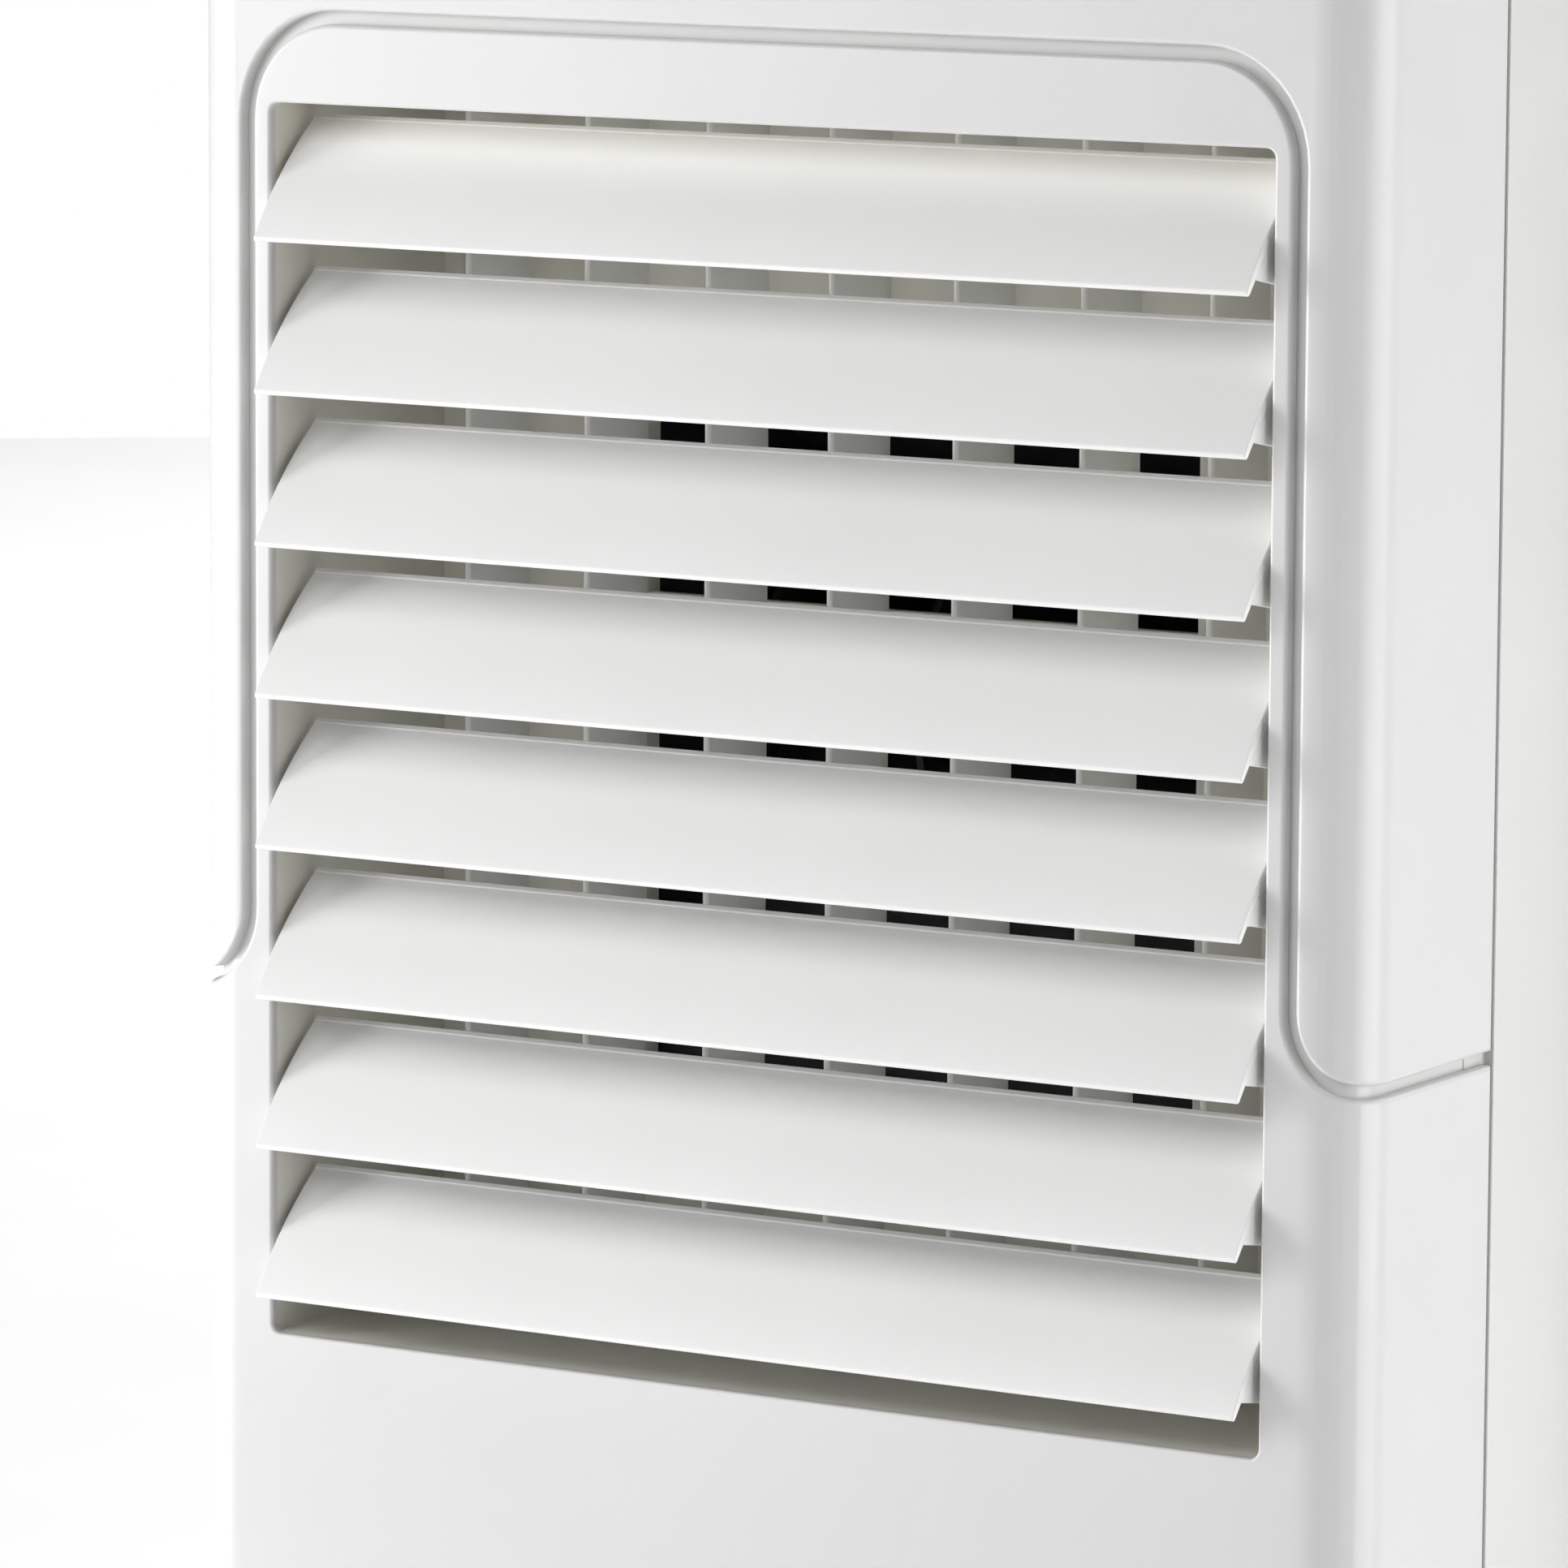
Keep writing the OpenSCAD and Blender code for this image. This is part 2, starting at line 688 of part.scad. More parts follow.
module blower_housing() {
    mouth_d = duct_d + throat_jamb;
    outer = blower_half + blower_plate;
    color(black) difference() {
        union() {
            for (s = [-1, 1]) translate([s > 0 ? blower_half : -outer, front_y + wheel_d, wheel_z])
                rotate([90, 0, 90]) linear_extrude(blower_plate) volute(blower_plate);
            translate([-blower_half - eps, front_y + wheel_d, wheel_z]) rotate([90, 0, 90])
                linear_extrude(2 * blower_half + 2 * eps) difference() {
                    volute(blower_plate);
                    volute(0);
                    // Air inlet under the wheel
                    polygon([[-52, -26.5], [-150, -120], [40, -120], [30, -50], [0, -30]]);
                }
            // Lower wall from the throat to the stabiliser beside the wheel
            translate([-blower_half - eps, front_y + wheel_d, wheel_z]) rotate([90, 0, 90])
                linear_extrude(2 * blower_half + 2 * eps)
                    polygon([[mouth_d - wheel_d, outlet_mid - wheel_z - throat_h / 2],
                        [mouth_d - wheel_d, outlet_mid - wheel_z - throat_h / 2 - blower_plate],
                        [-50, -30], [-50, -24]]);
        }
        rod_x(8, [-outer - 1, -blower_half + 1], wheel_d, wheel_z);
        rod_x(10, [blower_half - 1, outer + 1], wheel_d, wheel_z);
    }
}

module blower_bearing() {
    outer = blower_half + blower_plate;
    color(steel) difference() {
        union() {
            rod_x(8, [-outer - 4, -blower_half], wheel_d, wheel_z);
            rod_x(11, [-outer - 4, -outer], wheel_d, wheel_z);
        }
        rod_x(wheel_shaft_r + run, [-outer - 5, -blower_half + 1], wheel_d, wheel_z);
    }
}

module blower_motor() {
    x = blower_half + blower_plate;
    color(dark_grey) difference() {
        union() {
            rod_x(34, [x, x + 44], wheel_d, wheel_z);
            rod_x(14, [x + 43, x + 52], wheel_d, wheel_z);
            for (a = [45:90:315]) translate([x, front_y + wheel_d, wheel_z]) rotate([a, 0, 0])
                translate([0, -5, 30]) cube([3, 10, 14]);
        }
        rod_x(wheel_shaft_r + run, [x - 1, x + 30], wheel_d, wheel_z);
    }
}

module blower_shaft() {
    outer = blower_half + blower_plate;
    color(steel) rod_x(wheel_shaft_r, [-outer - 2, outer + 26], wheel_d, wheel_z);
}

module blower_wheel() {
    half = wheel_l / 2;
    disc = 2;
    blade_w = 11;
    color(black) difference() {
        union() {
            for (x = [-half, -half / 3 - 1, half / 3 - 1, half - disc])
                rod_x(wheel_r, [x, x + disc], wheel_d, wheel_z);
            for (s = [-1, 1]) rod_x(10, s > 0 ? [half - 14, half] : [-half, -half + 14], wheel_d, wheel_z);
            for (i = [0:wheel_blades - 1]) translate([-half + disc / 2, front_y + wheel_d, wheel_z])
                rotate([i * 360 / wheel_blades, 0, 0]) translate([0, 0, wheel_r - blade_w])
                    rotate([32, 0, 0]) translate([0, -0.6, 0]) cube([wheel_l - disc, 1.2, blade_w]);
        }
        // The two middle discs are rings
        rod_x(wheel_r - 13, [-half + 20, half - 20], wheel_d, wheel_z);
        rod_x(wheel_shaft_r, [-half - 1, half + 1], wheel_d, wheel_z);
    }
}

// ---------- Condenser side ----------

module fan_shroud() {
    color(black) difference() {
        union() {
            box([-148, 148], [294, 296.5], [fan_z - 140, fan_z + 140]);
            rod_y(fan_r + 6.5, [fan_d - 4, 295], 0, fan_z);
        }
        rod_y(fan_r + 4, [fan_d - 5, 298], 0, fan_z);
    }
}

module fan_motor() {
    color(dark_grey) difference() {
        union() {
            rod_y(40, [fan_motor_d, fan_motor_d + fan_motor_l], 0, fan_z);
            for (a = [0:90:270]) translate([0, front_y + upper_bulkhead_d + sheet, fan_z]) rotate([0, a, 0])
                translate([30, 0, -6]) cube([24, 3.5, 12]);
        }
        rod_y(wheel_shaft_r + run, [fan_motor_d + 4, fan_motor_d + fan_motor_l + 1], 0, fan_z);
    }
}

module fan_shaft() {
    color(steel) rod_y(wheel_shaft_r, [fan_motor_d + 6, fan_d + fan_l + 1], 0, fan_z);
}

module condenser_fan() {
    hub_r = 26;
    color(black) difference() {
        union() {
            rod_y(hub_r, [fan_d, fan_d + fan_l], 0, fan_z);
            intersection() {
                rod_y(fan_r, [fan_d, fan_d + fan_l], 0, fan_z);
                for (i = [0:fan_blades - 1]) translate([0, front_y + fan_d + fan_l / 2, fan_z])
                    rotate([0, i * 360 / fan_blades, 0]) translate([hub_r - 3, 0, 0])
                        rotate([24, 0, 0]) translate([0, -1.1, -30]) cube([fan_r, 2.2, 60]);
            }
        }
        rod_y(wheel_shaft_r, [fan_d - 1, fan_d + fan_l + 2], 0, fan_z);
        rod_y(hub_r - 3, [fan_d + fan_l - 6, fan_d + fan_l + 1], 0, fan_z);
    }
}

// Fin pack with a grooved front and back between two end plates
module fin_pack(d, t, z) {
    fin_pitch = 6;
    cut = t * 0.4;
    difference() {
        box([-coil_half, coil_half], [d, d + t], z);
        for (x = [-coil_half + 4:fin_pitch:coil_half - 6]) {
            box([x, x + 4], [d - 1, d + cut], z + [3, -3]);
            box([x, x + 4], [d + t - cut, d + t + 1], z + [3, -3]);
        }
    }
}

// Return bends on one end of a coil
module return_bends(side, d, z, pitch, count, r) {
    for (i = [0:count - 1]) translate([side * coil_half, front_y + d, z + i * 2 * pitch + pitch / 2])
        rotate([90, 0, 0]) rotate([0, 0, side > 0 ? -90 : 90]) rotate_extrude(angle = 180)
            translate([pitch / 2, 0]) circle(r, $fn = 24);
}

module evaporator_coil() {
    color(fin_silver) fin_pack(evaporator_d, evaporator_t, evaporator_z);
}

module condenser_coil() {
    color(fin_silver) fin_pack(condenser_d, condenser_t, condenser_z + [1, -1]);
}

module evaporator_bends() {
    color(copper) for (s = [-1, 1], row = [0, 1])
        return_bends(s, evaporator_d + 10 + row * 18, evaporator_z[0] + (s > 0 ? 18 : 40), 22, 6, 3.5);
}

module condenser_bends() {
    color(copper) for (s = [-1, 1])
        return_bends(s, condenser_d + condenser_t / 2, condenser_z[0] + (s > 0 ? 20 : 42), 22, 8, 3.5);
}

// ---------- Compressor and pipes ----------

module compressor() {
    color(dark_grey) translate([comp_x, front_y + comp_d, 0]) difference() {
        union() {
            translate([0, 0, comp_z[0]]) cylinder(h = comp_z[1] - comp_z[0] - 12, r = comp_r);
            translate([0, 0, comp_z[1] - 13]) cylinder(h = 13, r1 = comp_r, r2 = comp_r - 18);
            // Foot plate with its three arms
            for (i = [0:2]) rotate([0, 0, 90 + i * 120]) {
                translate([0, -11, comp_z[0] - 4]) cube([comp_foot_r, 22, 4.5]);
                translate([comp_foot_r, 0, comp_z[0] - 4]) cylinder(h = 4.5, r = 13);
            }
            // Terminal cover on the top
            translate([-16, -16, comp_z[1] - 1]) cube([32, 32, 14]);
        }
        translate([0, 0, comp_z[0] + 8]) cylinder(h = comp_z[1] - comp_z[0] - 30, r = comp_r - 10);
        for (i = [0:2]) rotate([0, 0, 90 + i * 120])
            translate([comp_foot_r, 0, comp_z[0] - 5]) cylinder(h = 7, r = 6);
    }
}

module compressor_grommets() {
    z = foot_h + 12 + eps;
    color(black) for (i = [0:2]) translate([comp_foot(i)[0], front_y + comp_foot(i)[1], z]) difference() {
        union() {
            cylinder(h = comp_z[0] - 4 - z, r = 10);
            cylinder(h = comp_z[0] + 2.5 - z, r = 5.9);
            translate([0, 0, comp_z[0] + 0.6 - z]) cylinder(h = 4, r = 9);
        }
        translate([0, 0, -1]) cylinder(h = 60, r = 2.6);
    }
}

module accumulator() {
    color(dark_grey) translate([acc_x, front_y + acc_d, 0]) {
        translate([0, 0, 90]) cylinder(h = 120, r = 17);
        translate([0, 0, 80]) cylinder(h = 10.5, r1 = 8, r2 = 17);
        translate([0, 0, 209.5]) cylinder(h = 10.5, r1 = 17, r2 = 8);
    }
}

function unit(v) = v / norm(v);

// Points round the corner b of a path, on an arc of radius r
function bend(a, b, c, r, steps = 4) =
    let (u = unit(a - b), w = unit(c - b), half = acos(u * w) / 2,
        m = b + unit(u + w) * r / sin(half), p = b + u * r / tan(half), q = b + w * r / tan(half))
    [for (i = [0:steps]) m + r * unit((p - m) * (1 - i / steps) + (q - m) * i / steps)];

function route(p, r) = concat([p[0]],
    [for (i = [1:len(p) - 2]) each bend(p[i - 1], p[i], p[i + 1], r)], [p[len(p) - 1]]);

function directions(p) = [for (i = [0:len(p) - 1])
    unit(p[min(i + 1, len(p) - 1)] - p[max(i - 1, 0)])];

function normals(t, n, i = 0) = i == len(t) ? [] :
    let (m = unit(n - (n * t[i]) * t[i])) concat([m], normals(t, m, i + 1));

// A tube swept along points, given as x, depth and height
module pipe(points, r, bend_r, start_normal) {
    sides = 8;
    p = route([for (q = points) [q[0], front_y + q[1], q[2]]], bend_r);
    t = directions(p);
    n = normals(t, start_normal);
    last = len(p) - 1;
    rings = [for (i = [0:last]) for (k = [0:sides - 1])
        p[i] + r * (cos(k * 360 / sides) * n[i] + sin(k * 360 / sides) * cross(t[i], n[i]))];
    walls = [for (i = [0:last - 1]) for (k = [0:sides - 1])
        let (a = i * sides, b = a + sides, next = (k + 1) % sides) [a + k, a + next, b + next, b + k]];
    polyhedron(points = rings, faces = concat(walls, [[for (k = [sides - 1:-1:0]) k]],
        [[for (k = [0:sides - 1]) last * sides + k]]));
}

module refrigerant_pipes() {
    comp_in = [comp_x, comp_d] + (comp_r + gap) * unit([acc_x - comp_x, acc_d - comp_d]);
    mid_d = condenser_d + condenser_t / 2;
    riser_d = upper_bulkhead_d + 8;
    color(copper) {
        // Discharge pipe from the compressor to the condenser's top
        pipe([[comp_x - 34, comp_d, comp_z[1] + eps], [comp_x - 34, comp_d, 320],
            [-152, riser_d, 330], [-152, riser_d, 725], [-152, mid_d, 725],
            [-coil_half - eps, mid_d, 725]], 4, 6, [1, 0, 0]);
        // Suction pipe from the evaporator to the accumulator
        pipe([[coil_half + eps, evaporator_d + 20, suction_z], [150, evaporator_d + 20, suction_z],
            [150, acc_d, suction_z], [acc_x, acc_d, 220 + eps]], 4, 5, [0, 0, 1]);
        // Accumulator to the foot of the compressor
        pipe([[acc_x, acc_d, 80 - eps], [acc_x, acc_d, 64], [comp_in[0], comp_in[1], 64]],
            4, 6, [1, 0, 0]);
        // Capillary tube from the condenser's bottom to the evaporator's foot
        pipe([[coil_half + eps, mid_d, 343], [154, mid_d, 343], [156, mid_d - 19, 330],
            [156, mid_d - 19, capillary_z], [150, 200, capillary_z], [150, 105, capillary_z],
            [150, 105, 95], [150, evaporator_d + 10, 95], [coil_half + eps, evaporator_d + 10, 95]],
            2, 4, [0, 0, 1]);
    }
}

module drain_tray() {
    d = [evaporator_d - 2, evaporator_d + evaporator_t + 20];
    floor_z = foot_h + 14;
    color(inner_grey) difference() {
        box([-156, 156], d, [floor_z, evaporator_z[0] - 2]);
        box([-153, 153], d + [3, -3], [floor_z + 3, evaporator_z[0]]);
    }
    // Supports that carry the coil above the water
    color(inner_grey) for (x = [-120, 0, 120])
        box([x - 4, x + 4], d + [6, -24], [floor_z + 3 - eps, evaporator_z[0]]);
}

// ---------- Electrics ----------

module electrical_box() {
    x = [-158, -66];
    d = [132, 204];
    z = [190, 340];
    color(steel) difference() {
        box(x, d, z);
        box(x + [sheet, -sheet], d + [sheet, -sheet], z + [sheet, 1]);
    }
}

module run_capacitor() {
    color(fin_silver) union() {
        translate([-130, front_y + 168, 193]) cylinder(h = 85, r = 20);
        for (x = [-136, -124]) translate([x - 3, front_y + 167, 277]) cube([6, 1, 10]);
    }
}

module control_board() {
    switch_d = button_back_d + button_travel + 0.3;
    color([0.10, 0.35, 0.20]) box([-92, 92], [board_d, board_d + 1.6], [panel_z - 15, panel_z + 15]);
    color(dark_grey) {
        for (x = button_x) box([x - 3, x + 3], [switch_d, board_d + eps], [panel_z - 3, panel_z + 3]);
        box([-72, -26], [board_d - 6, board_d + eps], [panel_z - 10, panel_z + 10]);
    }
}

module control_panel() {
    fit = 0.6;
    back = wall + 0.1;
    color(off_white) difference() {
        union() {
            through([0.6, back]) translate([0, panel_z]) rounded_rect(panel_w - fit, panel_h - fit, 5.7);
            through([back, back + 2]) translate([0, panel_z]) rounded_rect(panel_w + 12, panel_h + 6, 6);
            for (x = [-88, 88]) box([x - 3, x + 3], [wall + 2, board_d], [panel_z - 4, panel_z + 4]);
        }
        for (x = button_x) rod_y(button_r + 0.3, [-1, 8], x, panel_z);
        box([-74, -24], [-1, 8], [panel_z - 11, panel_z + 11]);
    }
}

module display_window() {
    color(black) {
        box([-73.8, -24.2], [0.8, wall + 2], [panel_z - 10.8, panel_z + 10.8]);
    }
}

module button(i) {
    color(white) {
        rod_y(button_r, [-button_proud, wall + 3], button_x[i], panel_z);
        rod_y(button_r + 1.6, [wall + 2.5, button_back_d], button_x[i], panel_z);
    }
}

// ---------- Intake ----------

module intake_grille() {
    w = intake_w - 0.8;
    h = intake_h - 0.8;
    mid = intake_z + intake_h / 2;
    slat = 9;
    color(white) difference() {
        union() {
            through([0.3, 3]) translate([0, mid]) rounded_rect(w, h, 5.6);
            for (x = [-w / 4, 0, w / 4])
                box([x - 1.5, x + 1.5], [2.9, 9], [mid - h / 2 + 6, mid + h / 2 - 6]);
        }
        for (row = [0:20], col = [0:3])
            box([(col - 2) * 63 + 1.5, (col - 1) * 63 - 1.5], [-1, 4],
                [mid - 93 + row * slat, mid - 93 + row * slat + 5.4]);
    }
}

module air_filter() {
    x = [-156, body_w / 2 - 0.2];
    color(dark_grey) difference() {
        box(x, [filter_d, filter_d + filter_t], filter_z);
        for (col = [0:3], row = [0:2])
            box([-148 + col * 76, -148 + col * 76 + 72], [filter_d - 1, filter_d + 1.8],
                [filter_z[0] + 8 + row * 66, filter_z[0] + 8 + row * 66 + 62]);
        for (col = [0:3], row = [0:2])
            box([-148 + col * 76, -148 + col * 76 + 72], [filter_d + 3.2, filter_d + filter_t + 1],
                [filter_z[0] + 8 + row * 66, filter_z[0] + 8 + row * 66 + 62]);
    }
}

// ---------- Fixings ----------

module cord_gland() {
    color(black) difference() {
        union() {
            rod_y(gland_r, [back_d - 12, back_d + 1], gland_x, gland_z);
            rod_y(gland_r + 3, [back_d, body_d], gland_x, gland_z);
            rod_y(gland_r + 3, [back_d - 6, back_d - sheet], gland_x, gland_z);
        }
        rod_y(4, [back_d - 13, body_d + 1], gland_x, gland_z);
    }
}

module side_rails() {
    half = body_w / 2;
    color(steel) for (s = [-1, 1]) difference() {
        union() {
            box(s > 0 ? [half, half + rail_w] : [-half - rail_w, -half], [rail_d, rail_d + rail_t], rail_z);
            box(s > 0 ? [half, half + rail_t] : [-half - rail_t, -half], [rail_d, rail_d + 26], rail_z);
        }
        for (z = rail_hole_z) rod_y(2.75, [rail_d - 1, rail_d + rail_t + 1], s * rail_hole_x, z);
        for (z = rail_screw_z)
            rod_x(screw_hole_r, s > 0 ? [half - 1, half + 4] : [-half - 4, -half + 1], rail_d + 14, z);
    }
}

// Pan-head screw along +Z, with its head's seat at z = 0 and its point below
module screw(length) {
    translate([0, 0, -length]) cylinder(h = length + 1, r = screw_r);
    difference() {
        cylinder(h = head_t, r = head_r);
        for (a = [0, 90]) translate([0, 0, head_t]) rotate([0, 0, a])
            cube([4, 0.9, 1.8], center = true);
    }
}

module screws() {
    half = body_w / 2;
    color(steel) {
        for (s = [-1, 1], z = rail_screw_z)
            translate([s * (half + rail_t), front_y + rail_d + 14, z]) rotate([0, s * 90, 0]) screw(8);
        for (s = [-1, 1], z = grille_screw_z)
            translate([s * grille_screw_x, front_y + back_d + grille_t, z]) rotate([-90, 0, 0]) screw(8);
        for (s = [-1, 1], z = duct_screw_z)
            translate([s * duct_screw_x, front_y + wall + 7, z]) rotate([-90, 0, 0]) screw(6);
    }
}

front_cover();
upper_shell();
rear_cabinet();
rear_panel();
rear_grille();
base_pan();
feet();
bulkhead();
outlet_duct();
blower_housing();
blower_bearing();
blower_motor();
blower_shaft();
blower_wheel();
fan_shroud();
fan_motor();
fan_shaft();
condenser_fan();
evaporator_coil();
evaporator_bends();
condenser_coil();
condenser_bends();
compressor();
compressor_grommets();
accumulator();
refrigerant_pipes();
drain_tray();
electrical_box();
run_capacitor();
control_board();
control_panel();
display_window();
button(0);  // button_power
button(1);  // button_mode
button(2);  // button_fan
button(3);  // button_cooler
button(4);  // button_warmer
intake_grille();
air_filter();
swing_motor();
louvre_link();
vane_link();
cord_gland();
side_rails();
screws();
for (i = [0:louvre_count - 1]) louvre(i);
for (i = [0:vane_count - 1]) vane(i);
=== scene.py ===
"""Portrait window air conditioner: the visible mouldings and finishes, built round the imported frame."""

import json
from math import asin, copysign, cos, pi, radians, sin, sqrt

import bmesh
import bpy
from mathutils import Matrix, Vector
from mathutils.geometry import delaunay_2d_cdt


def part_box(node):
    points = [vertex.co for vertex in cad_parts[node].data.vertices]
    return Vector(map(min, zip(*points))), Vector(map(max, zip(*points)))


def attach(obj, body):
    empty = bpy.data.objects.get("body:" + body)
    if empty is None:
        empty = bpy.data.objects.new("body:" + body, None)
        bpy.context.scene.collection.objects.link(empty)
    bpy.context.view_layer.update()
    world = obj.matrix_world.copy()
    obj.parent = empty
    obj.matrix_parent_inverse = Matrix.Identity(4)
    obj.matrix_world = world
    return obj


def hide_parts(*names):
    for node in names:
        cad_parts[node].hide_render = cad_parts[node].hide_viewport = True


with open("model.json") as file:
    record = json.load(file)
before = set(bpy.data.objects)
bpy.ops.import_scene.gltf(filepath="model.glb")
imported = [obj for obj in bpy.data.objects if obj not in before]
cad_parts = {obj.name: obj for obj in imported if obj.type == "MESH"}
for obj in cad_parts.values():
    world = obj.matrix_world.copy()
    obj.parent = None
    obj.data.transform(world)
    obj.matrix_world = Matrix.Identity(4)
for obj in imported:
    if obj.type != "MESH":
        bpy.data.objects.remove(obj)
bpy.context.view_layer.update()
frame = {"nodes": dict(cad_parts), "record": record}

# ---------- Dimensions, in millimetres ----------

MM = 0.001
EDGE_STEPS = 5           # faces round a small moulded edge
WELD = 0.004             # points closer than this are one point


def extent(node):
    """Lowest and highest corner of a CAD node, in millimetres."""
    lo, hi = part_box(node)
    return lo / MM, hi / MM


cover_lo, cover_hi = extent("front_cover")
shell_lo, shell_hi = extent("upper_shell")
FRONT = cover_lo.y                # the cover's flat face; depths are measured back from it
SEAM = cover_hi.y - FRONT         # depth where the front covers end
HALF = cover_hi.x                 # half the cabinet's width
COVER_Z = cover_lo.z
TOP = shell_hi.z
CORNER = 16.0                     # upright front edges
TOP_R = 14.0                      # edges round the top
WALL = 2.5
FLAT = HALF - CORNER
ARC = CORNER * pi / 2
S_END = FLAT + ARC + SEAM - CORNER

ARCH_MARGIN = 20.0
OUTLET = (284.0, 313.0)           # width and height of the outlet opening
OUTLET_TOP = cover_hi.z - ARCH_MARGIN
OUTLET_BOTTOM = OUTLET_TOP - OUTLET[1]
OUTLET_MID = (OUTLET_TOP + OUTLET_BOTTOM) / 2
OUTLET_R = 2.5
TONGUE = OUTLET[0] / 2 + 5        # half the tongue's width
ARCH_R = 24.0
SHOULDER = OUTLET_BOTTOM + 88
GROOVE_W = 3.4
GROOVE_D = 3.0
DUCT_WALL = 2.5

LOUVRES = 8
VANES = 7
TILT = 46.0                       # louvres at rest, front lip down


# ---------- Mesh building ----------

class Soup:
    """Faces given by their corner points, welded into one mesh at the end."""

    def __init__(self):
        self.faces = []

    def face(self, points):
        self.faces.append([Vector(p) for p in points])

    def strip(self, a, b, closed=True):
        """Quads between two rows of points."""
        count = len(a) if closed else len(a) - 1
        for i in range(count):
            j = (i + 1) % len(a)
            self.face([a[i], a[j], b[j], b[i]])

    def rings(self, rows, closed=True):
        for a, b in zip(rows, rows[1:]):
            self.strip(a, b, closed)

    def build(self, name, sharp=32, weld=WELD):
        mesh = bmesh.new()
        for points in self.faces:
            corners = [mesh.verts.new(p * MM) for p in points]
            mesh.faces.new(corners)
        bmesh.ops.remove_doubles(mesh, verts=mesh.verts, dist=weld * MM)
        bmesh.ops.dissolve_degenerate(mesh, dist=weld * MM, edges=mesh.edges)
        loose = [v for v in mesh.verts if not v.link_faces]
        bmesh.ops.delete(mesh, geom=loose, context="VERTS")
        bmesh.ops.recalc_face_normals(mesh, faces=mesh.faces)
        return finish_mesh(mesh, name, sharp)


def finish_mesh(mesh, name, sharp=32):
    """Makes an object of a bmesh: smooth but for edges sharper than the angle, with weighted normals."""
    data = bpy.data.meshes.new(name)
    mesh.to_mesh(data)
    mesh.free()
    data.shade_smooth()
    data.set_sharp_from_angle(angle=radians(sharp))
    piece = bpy.data.objects.new(name, data)
    bpy.context.scene.collection.objects.link(piece)
    weigh_normals(piece)
    return piece


def weigh_normals(piece):
    normals = piece.modifiers.new("normals", "WEIGHTED_NORMAL")
    normals.weight = 100
    normals.keep_sharp = True


def join(name, pieces):
    """One object from several, in the first one's frame."""
    mesh = bmesh.new()
    for piece in pieces:
        part = piece.data.copy()
        part.transform(piece.matrix_world)
        mesh.from_mesh(part)
        bpy.data.meshes.remove(part)
        bpy.data.objects.remove(piece)
    return finish_mesh(mesh, name)


def inside(point, polygon):
    """Even-odd test in the plane."""
    x, y = point
    hit = False
    for (x1, y1), (x2, y2) in zip(polygon, polygon[1:] + polygon[:1]):
        if (y1 > y) != (y2 > y) and x < (x2 - x1) * (y - y1) / (y2 - y1) + x1:
            hit = not hit
    return hit


def filled(loops, lines=()):
    """Triangles of the region inside the first loop and outside the others; lines are edges to keep."""
    points, edges = [], []
    for loop in loops:
        start = len(points)
        points += [Vector(p) for p in loop]
        edges += [(start + i, start + (i + 1) % len(loop)) for i in range(len(loop))]
    for a, b in lines:
        edges.append((len(points), len(points) + 1))
        points += [Vector(a), Vector(b)]
    flat, _, faces, *_ = delaunay_2d_cdt(points, edges, [], 0, 1e-4)
    kept = []
    for face in faces:
        centre = sum((flat[i] for i in face), Vector((0, 0))) / len(face)
        hits = [inside(centre, loop) for loop in loops]
        if hits[0] and not any(hits[1:]):
            kept.append([flat[i] for i in face])
    return kept


def round_edge(r, steps=EDGE_STEPS):
    """Offsets and depths of a rounded outer edge, from the flat face to the side wall."""
    return [(r * sin(a) - r, r - r * cos(a)) for a in (k * pi / 2 / steps for k in range(steps + 1))]


def rounded_rect(w, h, r, g=0.0, steps=6):
    """Outline round the origin, grown by g, counter-clockwise."""
    r = max(r + g, 0.01)
    points = []
    for sx, sy, start in ((1, -1, -90), (1, 1, 0), (-1, 1, 90), (-1, -1, 180)):
        cx, cy = sx * (w / 2 + g - r), sy * (h / 2 + g - r)
        for k in range(steps + 1):
            a = radians(start + 90 * k / steps)
            points.append((cx + r * cos(a), cy + r * sin(a)))
    return points


def shifted(outline, x, z):
    return [(px + x, pz + z) for px, pz in outline]


# ---------- The covers' outer skin ----------

def along(x):
    """Distance along the skin, from its middle, of a point seen at x from the front."""
    if abs(x) <= FLAT:
        return x
    return copysign(FLAT + CORNER * asin(min(1.0, (abs(x) - FLAT) / CORNER)), x)


def skin(s, z, d=0.0):
    """Point of the covers' skin at distance s along its plan and height z, d below the surface."""
    a = abs(s)
    if a <= FLAT:
        x, y = a, d
    elif a <= FLAT + ARC:
        turn = (a - FLAT) / CORNER
        x, y = FLAT + (CORNER - d) * sin(turn), CORNER - (CORNER - d) * cos(turn)
    else:
        x, y = HALF - d, CORNER + a - FLAT - ARC
    return Vector((copysign(x, s), FRONT + y, z))


def cap(s, v, d=0.0):
    """As skin, where v above the wall's end runs on round the top edge."""
    wall_end = TOP - TOP_R
    if v <= wall_end:
        return skin(s, v, d)
    turn = min((v - wall_end) / TOP_R, pi / 2)
    return skin(s, wall_end + (TOP_R - d) * sin(turn), TOP_R - (TOP_R - d) * cos(turn))


def shoulder_curve(half, base, steps=12):
    """Fillet between the tongue's side and the shoulder line, from the cabinet's side inwards."""
    r = HALF - half
    even = [HALF - r * cos(k * pi / 2 / steps) for k in range(steps + 1)]
    bent = [FLAT + CORNER * sin(k * pi / 2 / steps) for k in range(2, steps)]
    across = sorted(even + bent, reverse=True)
    return [(along(x), base + r - sqrt(max(0.0, r * r - (HALF - x) ** 2))) for x in across]


